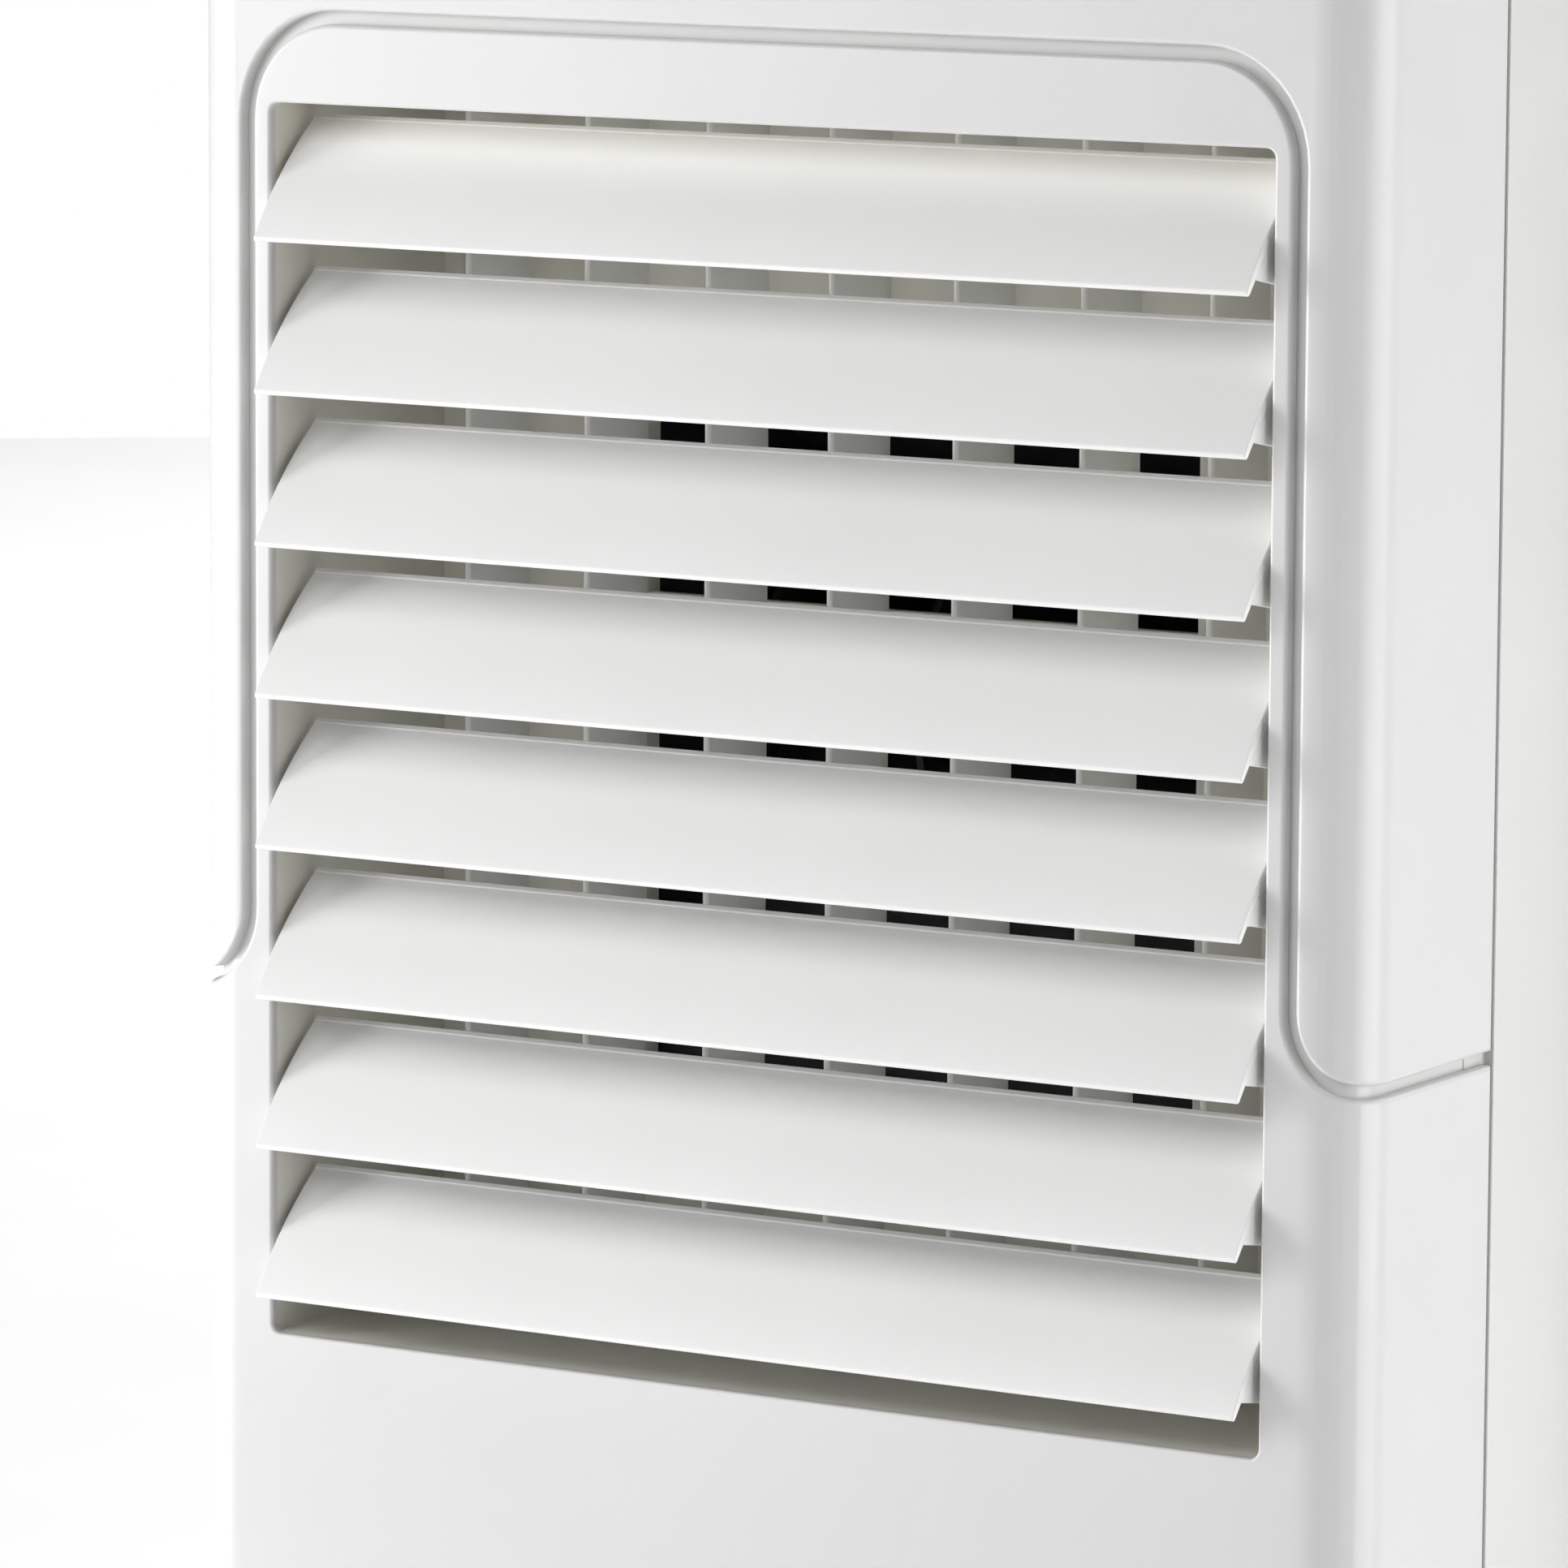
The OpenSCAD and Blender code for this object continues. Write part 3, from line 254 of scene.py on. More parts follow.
def tongue_edge(g, steps=10):
    """The tongue's edge grown by g, from the shoulder line's right end over the arch to its left end."""
    half, base, r = TONGUE + g, SHOULDER + g, ARCH_R + g
    top = OUTLET_TOP + ARCH_MARGIN + g
    right = shoulder_curve(half, base)
    for k in range(steps + 1):
        a = k * pi / 2 / steps
        right.append((half - r + r * cos(a), top - r + r * sin(a)))
    return right + [(-s, z) for s, z in reversed(right)]


def bend_stations(g):
    """The places along the skin, right half, where tongue_edge has points on the bend."""
    return [s for s, z in shoulder_curve(TONGUE + g, SHOULDER + g) if s > FLAT]


def plate(name, outer, holes, profile, hole_profile, place=skin, lines=lambda g: ()):
    """Closed moulding. outer and each hole give their outline for an offset g of material growth.
    A profile lists (offset, depth) from the front face round the edge to the back face."""
    soup = Soup()
    for loop, section in [(outer, profile)] + [(hole, hole_profile) for hole in holes]:
        soup.rings([[place(s, z, d) for s, z in loop(g)] for g, d in section])
    for end in (0, -1):
        g, d = profile[end]
        hole_g = hole_profile[end][0]
        loops = [outer(g)] + [hole(hole_g) for hole in holes]
        for triangle in filled(loops, lines(g)):
            soup.face([place(p.x, p.y, d) for p in triangle])
    return soup.build(name)


def block(x, d, z, bevel=0.3, name="block"):
    """Box between two x values, two depths and two heights, with small bevelled edges."""
    mesh = bmesh.new()
    bmesh.ops.create_cube(mesh, size=1)
    size = Vector((x[1] - x[0], d[1] - d[0], z[1] - z[0]))
    middle = Vector((sum(x) / 2, FRONT + sum(d) / 2, sum(z) / 2))
    for vert in mesh.verts:
        vert.co = Vector(c * s for c, s in zip(vert.co, size)) + middle
    bevel = min(bevel, min(size) / 3)
    bmesh.ops.bevel(mesh, geom=mesh.edges, offset=bevel, segments=2, profile=0.5, affect="EDGES")
    bmesh.ops.scale(mesh, vec=(MM, MM, MM), verts=mesh.verts)
    return finish_mesh(mesh, name)


def turned(profile, centre, axis, steps=48, name="turned"):
    """Solid turned about an axis: profile lists (radius, distance along the axis) from end to end."""
    axis = Vector(axis).normalized()
    side = axis.orthogonal().normalized()
    up = axis.cross(side)
    centre = Vector(centre)
    soup = Soup()
    rows = []
    for radius, run in profile:
        ring = []
        for k in range(steps):
            a = 2 * pi * k / steps
            ring.append(centre + axis * run + (side * cos(a) + up * sin(a)) * max(radius, 0.0))
        rows.append(ring)
    soup.rings(rows)
    for row in (rows[0], rows[-1]):
        if (row[0] - row[1]).length > WELD:
            soup.face(row)
    return soup.build(name)


def prism(outline, place, lo, hi, r=0.3, name="prism"):
    """Extrusion of an outline function of offset g, with rounded rims. place(u, v, w) gives the point."""
    rows = [(g, lo + t) for g, t in round_edge(r, 3)]
    rows += [(g, hi - t) for g, t in reversed(round_edge(r, 3))]
    soup = Soup()
    loops = [[place(u, v, w) for u, v in outline(g)] for g, w in rows]
    soup.rings(loops)
    for g, w in (rows[0], rows[-1]):
        for triangle in filled([outline(g)]):
            soup.face([place(p.x, p.y, w) for p in triangle])
    return soup.build(name)


def grow(polygon, g):
    """Outline of a counter-clockwise polygon moved outwards by g."""
    count = len(polygon)
    moved = []
    for i, (x, y) in enumerate(polygon):
        before, after = polygon[i - 1], polygon[(i + 1) % count]
        a = Vector((x - before[0], y - before[1])).normalized()
        b = Vector((after[0] - x, after[1] - y)).normalized()
        normal = Vector((a.y + b.y, -a.x - b.x))
        reach = g * 2 / max(normal.length_squared, 0.4)
        moved.append((x + normal.x * reach, y + normal.y * reach))
    return moved


def sweep(soup, section, path):
    """Closed solid with the section (offset, depth) carried along path(offset), through the skin."""
    rows = [[skin(s, z, d) for s, z in path(g)] for g, d in section]
    soup.rings(rows + [rows[0]], closed=False)
    for end in (0, -1):
        soup.face([row[end] for row in rows])


# ---------- Materials ----------

class Finish:
    """A node material in the making, on the object's own coordinates in metres."""

    def __init__(self, name, colour, roughness, metallic=0.0, coat=0.0, coat_roughness=0.1, ior=1.46):
        self.material = bpy.data.materials.new(name)
        self.material.use_nodes = True
        self.tree = self.material.node_tree
        self.shader = self.tree.nodes["Principled BSDF"]
        self.shader.inputs["Base Color"].default_value = (*colour, 1)
        self.shader.inputs["Roughness"].default_value = roughness
        self.shader.inputs["Metallic"].default_value = metallic
        self.shader.inputs["Coat Weight"].default_value = coat
        self.shader.inputs["Coat Roughness"].default_value = coat_roughness
        self.shader.inputs["IOR"].default_value = ior
        self.colour = colour
        self.roughness = roughness
        self.place = self.node("ShaderNodeTexCoord").outputs["Object"]

    def node(self, kind, inputs=(), **settings):
        made = self.tree.nodes.new(kind)
        for key, value in settings.items():
            setattr(made, key, value)
        for key, value in dict(inputs).items():
            self.feed(made.inputs[key], value)
        return made

    def feed(self, socket, value):
        if isinstance(value, bpy.types.NodeSocket):
            self.tree.links.new(value, socket)
        else:
            socket.default_value = value

    def scaled(self, factors):
        """Coordinates stretched by a factor along each axis."""
        return self.node("ShaderNodeMapping", {"Vector": self.place, "Scale": factors}).outputs["Vector"]

    def noise(self, scale, detail=3.0, roughness=0.5, at=None):
        inputs = {"Vector": at or self.place, "Scale": scale, "Detail": detail, "Roughness": roughness}
        return self.node("ShaderNodeTexNoise", inputs).outputs["Fac"]

    def cells(self, scale, at=None, feature="F1"):
        inputs = {"Vector": at or self.place, "Scale": scale}
        return self.node("ShaderNodeTexVoronoi", inputs, feature=feature)

    def waves(self, scale, direction="X", distortion=0.0, at=None):
        inputs = {"Vector": at or self.place, "Scale": scale, "Distortion": distortion}
        made = self.node("ShaderNodeTexWave", inputs, bands_direction=direction)
        return made.outputs["Fac"]

    def span(self, value, low, high, to_low=0.0, to_high=1.0):
        """Value between low and high carried to another range, held at its ends."""
        inputs = {"Value": value, "From Min": low, "From Max": high, "To Min": to_low, "To Max": to_high}
        return self.node("ShaderNodeMapRange", inputs).outputs["Result"]

    def sum(self, a, b, kind="ADD"):
        return self.node("ShaderNodeMath", {0: a, 1: b}, operation=kind).outputs[0]

    def mix(self, factor, a, b):
        made = self.node("ShaderNodeMix", data_type="RGBA")
        self.feed(made.inputs["Factor"], factor)
        for socket, value in ((made.inputs[6], a), (made.inputs[7], b)):
            self.feed(socket, value if isinstance(value, bpy.types.NodeSocket) else (*value, 1))
        return made.outputs[2]

    def paint(self, socket):
        self.tree.links.new(socket, self.shader.inputs["Base Color"])

    def gloss(self, socket):
        self.tree.links.new(socket, self.shader.inputs["Roughness"])

    def bump(self, height, distance, strength=1.0):
        inputs = {"Height": height, "Distance": distance, "Strength": strength}
        made = self.node("ShaderNodeBump", inputs)
        self.tree.links.new(made.outputs["Normal"], self.shader.inputs["Normal"])

    def edges(self, radius=0.0008):
        """About 1 on convex and concave edges, 0 on flat faces."""
        round_normal = self.node("ShaderNodeBevel", {"Radius": radius}, samples=4).outputs["Normal"]
        true_normal = self.node("ShaderNodeNewGeometry").outputs["Normal"]
        made = self.node("ShaderNodeVectorMath", {0: round_normal, 1: true_normal}, operation="DOT_PRODUCT")
        return self.span(made.outputs["Value"], 0.985, 0.90)

    def shaded_hollows(self, distance=0.012):
        """About 1 deep in corners and slots, where shade falls: the mask for painted shade there, and for
        the dust that gathers there.
        """
        made = self.node("ShaderNodeAmbientOcclusion", {"Distance": distance}, samples=4)
        return self.span(made.outputs["AO"], 0.75, 0.25)


def tint(colour, factor):
    return tuple(min(1.0, c * factor) for c in colour)


def moulded(name, colour, roughness, grain=0.00002, coat=0.0, dust=0.25):
    """Injection-moulded plastic: spark-eroded grain, slow gloss changes, dust and painted shade in corners,
    worn edges.
    """
    f = Finish(name, colour, roughness, coat=coat, coat_roughness=0.18)
    drift = f.noise(9.0, 4.0)
    fine = f.noise(2600.0, 2.0)
    orange = f.noise(180.0, 2.0)
    base = f.mix(f.span(drift, 0.35, 0.65), tint(colour, 0.985), tint(colour, 1.01))
    # dust-coloured painted shade: the occlusion mask darkens corners and slots, scaled by dust
    dusty_shade = tuple(c * k for c, k in zip(colour, (0.86, 0.84, 0.79)))
    base = f.mix(f.sum(f.shaded_hollows(), dust, "MULTIPLY"), base, dusty_shade)
    rubbed = f.sum(f.edges(), f.span(f.noise(60.0, 3.0), 0.4, 0.7), "MULTIPLY")
    f.paint(f.mix(f.sum(rubbed, 0.35, "MULTIPLY"), base, tint(colour, 1.08)))
    handled = f.span(f.noise(30.0, 5.0, 0.6), 0.35, 0.7, roughness - 0.05, roughness + 0.06)
    f.gloss(f.sum(handled, f.sum(rubbed, -0.08, "MULTIPLY")))
    f.bump(f.sum(f.sum(fine, 0.6, "MULTIPLY"), f.sum(orange, 0.4, "MULTIPLY")), grain)
    return f.material


def enamelled(name, colour, roughness, peel=0.00006, chip=(0.45, 0.45, 0.46)):
    """Sprayed or powder-coated steel: orange peel, a few chips on edges, painted shade in the corners."""
    f = Finish(name, colour, roughness, coat=0.25, coat_roughness=0.2)
    drift = f.noise(6.0, 4.0)
    base = f.mix(f.span(drift, 0.3, 0.7), tint(colour, 0.96), tint(colour, 1.02))
    # painted shade: darker in corners, by the occlusion mask
    base = f.mix(f.sum(f.shaded_hollows(0.02), 0.35, "MULTIPLY"), base, tint(colour, 0.72))
    chips = f.sum(f.edges(0.0006), f.span(f.noise(140.0, 4.0, 0.7), 0.60, 0.66), "MULTIPLY")
    f.paint(f.mix(chips, base, chip))
    f.gloss(f.span(f.noise(24.0, 4.0), 0.3, 0.7, roughness - 0.07, roughness + 0.08))
    f.bump(f.sum(f.noise(420.0, 2.0), f.sum(chips, 0.5, "MULTIPLY"), "SUBTRACT"), peel)
    return f.material


def zinc_sheet(name, colour):
    """Galvanised sheet: spangle of crystal cells, rolling lines and dull stains."""
    f = Finish(name, colour, 0.42, metallic=1.0)
    spangle = f.node("ShaderNodeSeparateColor", {"Color": f.cells(140.0).outputs["Color"]}).outputs[0]
    rolled = f.noise(40.0, 3.0, at=f.scaled((1.0, 1.0, 0.04)))
    stain = f.span(f.noise(11.0, 5.0, 0.6), 0.45, 0.75)
    base = f.mix(f.span(spangle, 0.0, 1.0), tint(colour, 0.82), tint(colour, 1.08))
    base = f.mix(f.sum(stain, 0.45, "MULTIPLY"), base, (0.44, 0.43, 0.41))
    f.paint(f.mix(f.sum(f.edges(0.0006), 0.5, "MULTIPLY"), base, (0.80, 0.80, 0.80)))
    f.gloss(f.sum(f.span(spangle, 0.0, 1.0, 0.30, 0.46), f.sum(stain, 0.18, "MULTIPLY")))
    f.bump(f.sum(f.sum(rolled, 0.6, "MULTIPLY"), f.sum(spangle, 0.25, "MULTIPLY")), 0.00004)
    return f.material


def plated(name, colour):
    """Bright zinc or nickel plate with fine turning lines and light scratches."""
    f = Finish(name, colour, 0.22, metallic=1.0)
    scratch = f.noise(900.0, 2.0, at=f.scaled((1.0, 0.08, 1.0)))
    f.paint(f.mix(f.span(f.noise(60.0, 4.0), 0.35, 0.7), tint(colour, 0.85), tint(colour, 1.05)))
    f.gloss(f.span(scratch, 0.3, 0.7, 0.15, 0.34))
    f.bump(scratch, 0.00001)
    return f.material


def copper(name, colour):
    """Drawn tube with brown tarnish and fingerprints."""
    f = Finish(name, colour, 0.3, metallic=1.0)
    tarnish = f.span(f.noise(70.0, 6.0, 0.62), 0.38, 0.66)
    base = f.mix(tarnish, colour, (0.36, 0.17, 0.10))
    f.paint(f.mix(f.span(f.noise(260.0, 3.0), 0.62, 0.72), base, (0.20, 0.33, 0.28)))
    f.gloss(f.sum(f.sum(tarnish, 0.28, "MULTIPLY"), 0.2))
    f.bump(f.noise(700.0, 3.0), 0.00002)
    return f.material


def fins(name, colour):
    """Rolled aluminium fins: fine upright lines, and dents where fins were knocked."""
    f = Finish(name, colour, 0.34, metallic=1.0)
    lines = f.waves(170.0, "X")
    knocks = f.span(f.noise(26.0, 5.0, 0.65), 0.56, 0.70)
    base = f.mix(lines, tint(colour, 0.62), tint(colour, 1.05))
    f.paint(f.mix(f.sum(knocks, 0.5, "MULTIPLY"), base, (0.45, 0.46, 0.47)))
    f.gloss(f.sum(f.span(lines, 0.0, 1.0, 0.42, 0.28), f.sum(knocks, 0.2, "MULTIPLY")))
    f.bump(f.sum(lines, f.sum(f.noise(300.0, 2.0), knocks, "MULTIPLY")), 0.00030)
    return f.material


def rubbery(name, colour):
    """Moulded rubber with a dry bloom and a fine pebbled skin."""
    f = Finish(name, colour, 0.72)
    bloom = f.span(f.noise(50.0, 5.0, 0.6), 0.42, 0.72)
    f.paint(f.mix(f.sum(bloom, 0.5, "MULTIPLY"), colour, (0.14, 0.14, 0.135)))
    f.gloss(f.span(bloom, 0.0, 1.0, 0.62, 0.84))
    f.bump(f.sum(f.noise(1500.0, 2.0), f.cells(900.0).outputs["Distance"]), 0.00005)
    return f.material


def circuit(name, colour):
    """Solder mask over tracks, with bright pads in a grid."""
    f = Finish(name, colour, 0.32, coat=0.4, coat_roughness=0.12)
    track = f.span(f.waves(150.0, "Z", 9.0, f.scaled((0.6, 1.0, 1.0))), 0.46, 0.54)
    pads = f.span(f.cells(210.0, feature="F1").outputs["Distance"], 0.26, 0.20)
    base = f.mix(track, tint(colour, 0.55), tint(colour, 1.5))
    f.paint(f.mix(pads, base, (0.74, 0.70, 0.58)))
    f.bump(f.sum(track, pads), 0.00004)
    return f.material


def smoked(name, colour):
    """Polished dark window with a few wiping marks."""
    f = Finish(name, colour, 0.06, coat=1.0, coat_roughness=0.03, ior=1.5)
    wipe = f.span(f.noise(24.0, 6.0, 0.7, f.scaled((1.0, 1.0, 3.0))), 0.45, 0.75)
    f.paint(f.mix(wipe, colour, tint(colour, 2.2)))
    f.gloss(f.span(wipe, 0.0, 1.0, 0.05, 0.16))
    f.bump(f.noise(1200.0, 2.0), 0.000004)
    return f.material


def mesh_screen(name, colour):
    """Woven filter mesh in relief, with lint caught in it."""
    f = Finish(name, colour, 0.6)
    across = f.waves(420.0, "X")
    up = f.waves(420.0, "Z")
    weave = f.node("ShaderNodeMath", {0: across, 1: up}, operation="MAXIMUM").outputs[0]
    lint = f.span(f.noise(45.0, 6.0, 0.7), 0.52, 0.72)
    base = f.mix(weave, tint(colour, 0.25), tint(colour, 1.25))
    f.paint(f.mix(f.sum(lint, 0.5, "MULTIPLY"), base, (0.42, 0.41, 0.38)))
    f.bump(weave, 0.00015)
    return f.material


def winding_dark(name, colour):
    """Dark stoved enamel on a motor can, with pressed rings and dull dust."""
    f = Finish(name, colour, 0.45, coat=0.15)
    rings = f.waves(60.0, "X")
    dust = f.span(f.noise(20.0, 5.0, 0.6), 0.45, 0.75)
    base = f.mix(f.sum(dust, 0.35, "MULTIPLY"), colour, (0.30, 0.29, 0.27))
    f.paint(f.mix(f.sum(f.edges(), 0.6, "MULTIPLY"), base, (0.42, 0.42, 0.43)))
    f.gloss(f.span(dust, 0.0, 1.0, 0.36, 0.62))
    f.bump(f.sum(f.sum(rings, 0.2, "MULTIPLY"), f.noise(500.0, 3.0)), 0.00005)
    return f.material


WHITE = (0.65, 0.65, 0.65)
FINISHES = {
    "white_cover": moulded("white_cover", WHITE, 0.34, coat=0.12),
    "painted_steel": enamelled("painted_steel", (0.65, 0.65, 0.635), 0.42),
    "grey_white_plastic": moulded("grey_white_plastic", (0.74, 0.74, 0.72), 0.42),
    "zinc_steel": zinc_sheet("zinc_steel", (0.66, 0.67, 0.68)),
    "rubber": rubbery("rubber", (0.030, 0.030, 0.031)),
    # painted light: the duct is made lighter than the white cover, to lift the shade inside it
    "duct_grey": moulded("duct_grey", (0.80, 0.785, 0.71), 0.46, dust=0.3),
    "black_plastic": moulded("black_plastic", (0.018, 0.018, 0.019), 0.46, dust=0.2),
    "motor_dark": winding_dark("motor_dark", (0.060, 0.060, 0.064)),
    "bright_steel": plated("bright_steel", (0.72, 0.71, 0.69)),
    "fin_aluminium": fins("fin_aluminium", (0.72, 0.74, 0.76)),
    "copper_tube": copper("copper_tube", (0.72, 0.34, 0.19)),
    "compressor_black": enamelled("compressor_black", (0.014, 0.014, 0.015), 0.30),
    "circuit_green": circuit("circuit_green", (0.015, 0.090, 0.040)),
    "display_dark": smoked("display_dark", (0.006, 0.006, 0.008)),
    "button_white": moulded("button_white", (0.78, 0.78, 0.77), 0.40),
    "filter_grey": mesh_screen("filter_grey", (0.10, 0.11, 0.12)),
    "link_white": moulded("link_white", (0.72, 0.72, 0.70), 0.42),
    # painted light: the louvres and vanes are the same plastic as the cover, made lighter than WHITE to
    # stand for the brighter light on them
    "louvre_white": moulded("louvre_white", (0.83, 0.83, 0.825), 0.38, coat=0.08, dust=0.1),
    "vane_white": moulded("vane_white", (0.83, 0.83, 0.805), 0.42, dust=0.1),
}
BODY_OF = {node: body for body, nodes in frame["record"]["behaviour"]["bodies"].items() for node in nodes}
SLOT_OF = {part["node"]: part["material_slot"] for part in frame["record"]["subparts"]}


def stand_in(piece, node):
    """The piece takes a CAD node's place: its body, its slot and its finish."""
    wear(piece, SLOT_OF[node])
    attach(piece, BODY_OF[node])
    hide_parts(node)


def wear(piece, slot):
    """Puts a material slot and its finish on a piece."""
    piece.data.materials.clear()
    piece.data.materials.append(FINISHES[slot])


# ---------- Covers ----------

EDGE_R = 1.2              # rounded outer edges
HOLE_EDGE_R = 0.9         # rounded edges of the openings
RIM = 2.2                 # thickness of the rim that stands along the groove
RIM_END = 10.0            # the rim stops this far short of the seam


def cover_outline(g):
    """Front cover's outline on the skin: full width below the shoulder line, an arched tongue above it."""
    end, foot = S_END + g, COVER_Z - g
    stations = bend_stations(g)
    bottom = [(-end, foot)] + [(-s, foot) for s in stations]
    bottom += [(s, foot) for s in reversed(stations)] + [(end, foot)]
    return bottom + [(end, SHOULDER + g)] + tongue_edge(g) + [(-end, SHOULDER + g)]


def cover_lines(g):
    """Upright lines of the cover's bends, between its bottom edge and its shoulder."""
    half = shoulder_curve(TONGUE + g, SHOULDER + g)
    right = [((s, COVER_Z - g), (s, z)) for s, z in half if s > FLAT]
    return right + [((-a[0], a[1]), (-b[0], b[1])) for a, b in right]


def hole(w, h, r, x, z):
    """Outline function of a rounded opening, which closes in as its material grows."""
    return lambda g: shifted(rounded_rect(w, h, r, -g), x, z)


INTAKE = (264.0, 204.0)
INTAKE_MID = 54 + INTAKE[1] / 2
PANEL = (170.0, 34.0)
FRAME_R = 6.0             # corners of the intake and panel openings
panel_lo, panel_hi = extent("control_panel")
PANEL_Z = (panel_lo.z + panel_hi.z) / 2
FILTER_D = 21.0
FILTER_T = 5.0
FILTER_Z = (50.0, 262.0)
SLOT_R = 0.6
GUIDE_X = (-158, 160)     # the filter's two guide rails
GUIDE_T = 4.0
FIT = 0.4
BOSS_X = 100.0            # screw bosses over and under the outlet
BOSS_R = 4.0


def front_cover():
    slot_s = FLAT + ARC + FILTER_D + FILTER_T / 2 - CORNER
    slot_z = sum(FILTER_Z) / 2
    slot_h = FILTER_Z[1] - FILTER_Z[0] + 2 * FIT
    holes = [
        hole(*OUTLET, OUTLET_R, 0, OUTLET_MID),
        hole(*INTAKE, FRAME_R, 0, INTAKE_MID),
        hole(*PANEL, FRAME_R, 0, PANEL_Z),
        hole(FILTER_T + 2 * FIT, slot_h, SLOT_R, slot_s, slot_z),
    ]
    edge = round_edge(EDGE_R) + [(0, WALL)]
    main = plate("cover_main", cover_outline, holes, edge, round_edge(HOLE_EDGE_R) + [(0, WALL)],
                 lines=cover_lines)
    rim = Soup()
    sweep(rim, [(0, WALL), (0, GROOVE_D), (-RIM, GROOVE_D), (-RIM, WALL)],
          lambda g: [(S_END - RIM_END, SHOULDER + g)] + tongue_edge(g) + [(RIM_END - S_END, SHOULDER + g)])
    pieces = [main, rim.build("cover_rim")]
    guide_d = (WALL, FILTER_D + FILTER_T + 3)
    pieces.append(block(GUIDE_X, guide_d, (FILTER_Z[0] - GUIDE_T, FILTER_Z[0] - FIT)))
    pieces.append(block(GUIDE_X, guide_d, (FILTER_Z[1] + FIT, FILTER_Z[1] + GUIDE_T)))
    for x in (-BOSS_X, BOSS_X):
        for z in (OUTLET_BOTTOM - 10, OUTLET_TOP + 9):
            pieces.append(turned([(BOSS_R, 4), (BOSS_R, 0)], (x, FRONT + WALL, z), (0, 1, 0), 24))
    stand_in(join("cover_moulding", pieces), "front_cover")


GUTTER_END = RIM_END - 0.4
GUTTER_T = 2.0
GUTTER_LAP = 1.6          # reach of the gutter behind the cover's rim
TOP_STEPS = 10


def upper_shell():
    wall_end = TOP - TOP_R
    turns = [wall_end + TOP_R * pi / 2 * k / TOP_STEPS for k in range(TOP_STEPS + 1)]

    def stations(g):
        """The edge's points on the bend, right half, leaving out any that all but coincide."""
        kept = []
        for s, z in tongue_edge(GROOVE_W - g):
            if s > FLAT and (not kept or kept[-1][0] - s > 0.03):
                kept.append((s, z))
        return kept

    def seam_path(g):
        """The shell's whole edge: round the groove, then up one side, over the top and down the other."""
        end, base = S_END + g, SHOULDER + GROOVE_W - g
        up = [(-end, v) for v in turns]
        down = [(-s, v) for s, v in reversed(up)]
        return [(end, base)] + tongue_edge(GROOVE_W - g) + [(-end, base)] + up + down

    def surface(soup, g, d):
        """The shell's outer or inner face: the front and sides, the rounded top and the top itself."""
        end, base = S_END + g, SHOULDER + GROOVE_W - g
        bends = stations(g)
        row = [-end] + [-s for s, z in bends] + [s for s, z in reversed(bends)] + [end]
        region = [(end, base)] + tongue_edge(GROOVE_W - g) + [(-end, base)] + [(s, wall_end) for s in row]
        lines = [((side * s, z), (side * s, wall_end)) for s, z in bends for side in (1, -1)]
        for triangle in filled([region], lines):
            soup.face([cap(p.x, p.y, d) for p in triangle])
        rows = [[cap(s, v, d) for s in row] for v in turns]
        soup.rings(rows, closed=False)
        soup.face(rows[-1])

    soup = Soup()
    edge = round_edge(EDGE_R) + [(0, WALL)]
    soup.rings([[cap(s, v, d) for s, v in seam_path(g)] for g, d in edge])
    surface(soup, *edge[0])
    surface(soup, *edge[-1])
    gutter = Soup()
    under, floor = GROOVE_W + GUTTER_LAP, GROOVE_D + 0.1
    back = floor + GUTTER_T
    end = S_END - GUTTER_END
    sweep(gutter, [(0, WALL), (0, floor), (under, floor), (under, back), (-WALL, back), (-WALL, WALL)],
          lambda g: [(end, SHOULDER + GROOVE_W - g)] + tongue_edge(GROOVE_W - g)
          + [(-end, SHOULDER + GROOVE_W - g)])
    stand_in(join("shell_moulding", [soup.build("shell_main"), gutter.build("shell_gutter")]), "upper_shell")


# ---------- Louvres ----------

CHORD = 41.4
AXIS_BACK = 17.0
AXIS_DROP = 8.0
AXIS_D = 13.2
LIP_T = 0.9               # half the thickness of the rounded front and rear edges
CROWN_TOP = 1.9
CROWN_UNDER = 0.6
PITCH = 38.3
FIRST_DROP = 21.9         # from the outlet's top to the first louvre's axis
LOUVRE_HALF = OUTLET[0] / 2 - 1.6
EAR_T = 2.2
PIN_R = 2.5
CRANK = 9.0               # from the louvre's axis to its pin in the link
CRANK_ANGLE = 14.0
CRANK_T = 3.0
CRANK_HUB_R = 3.4
CRANK_END_R = 3.0
LINK_T = 3.0
LINK_PIN_R = 1.45
SOFT_R = 0.3              # rounded rims of the small mouldings


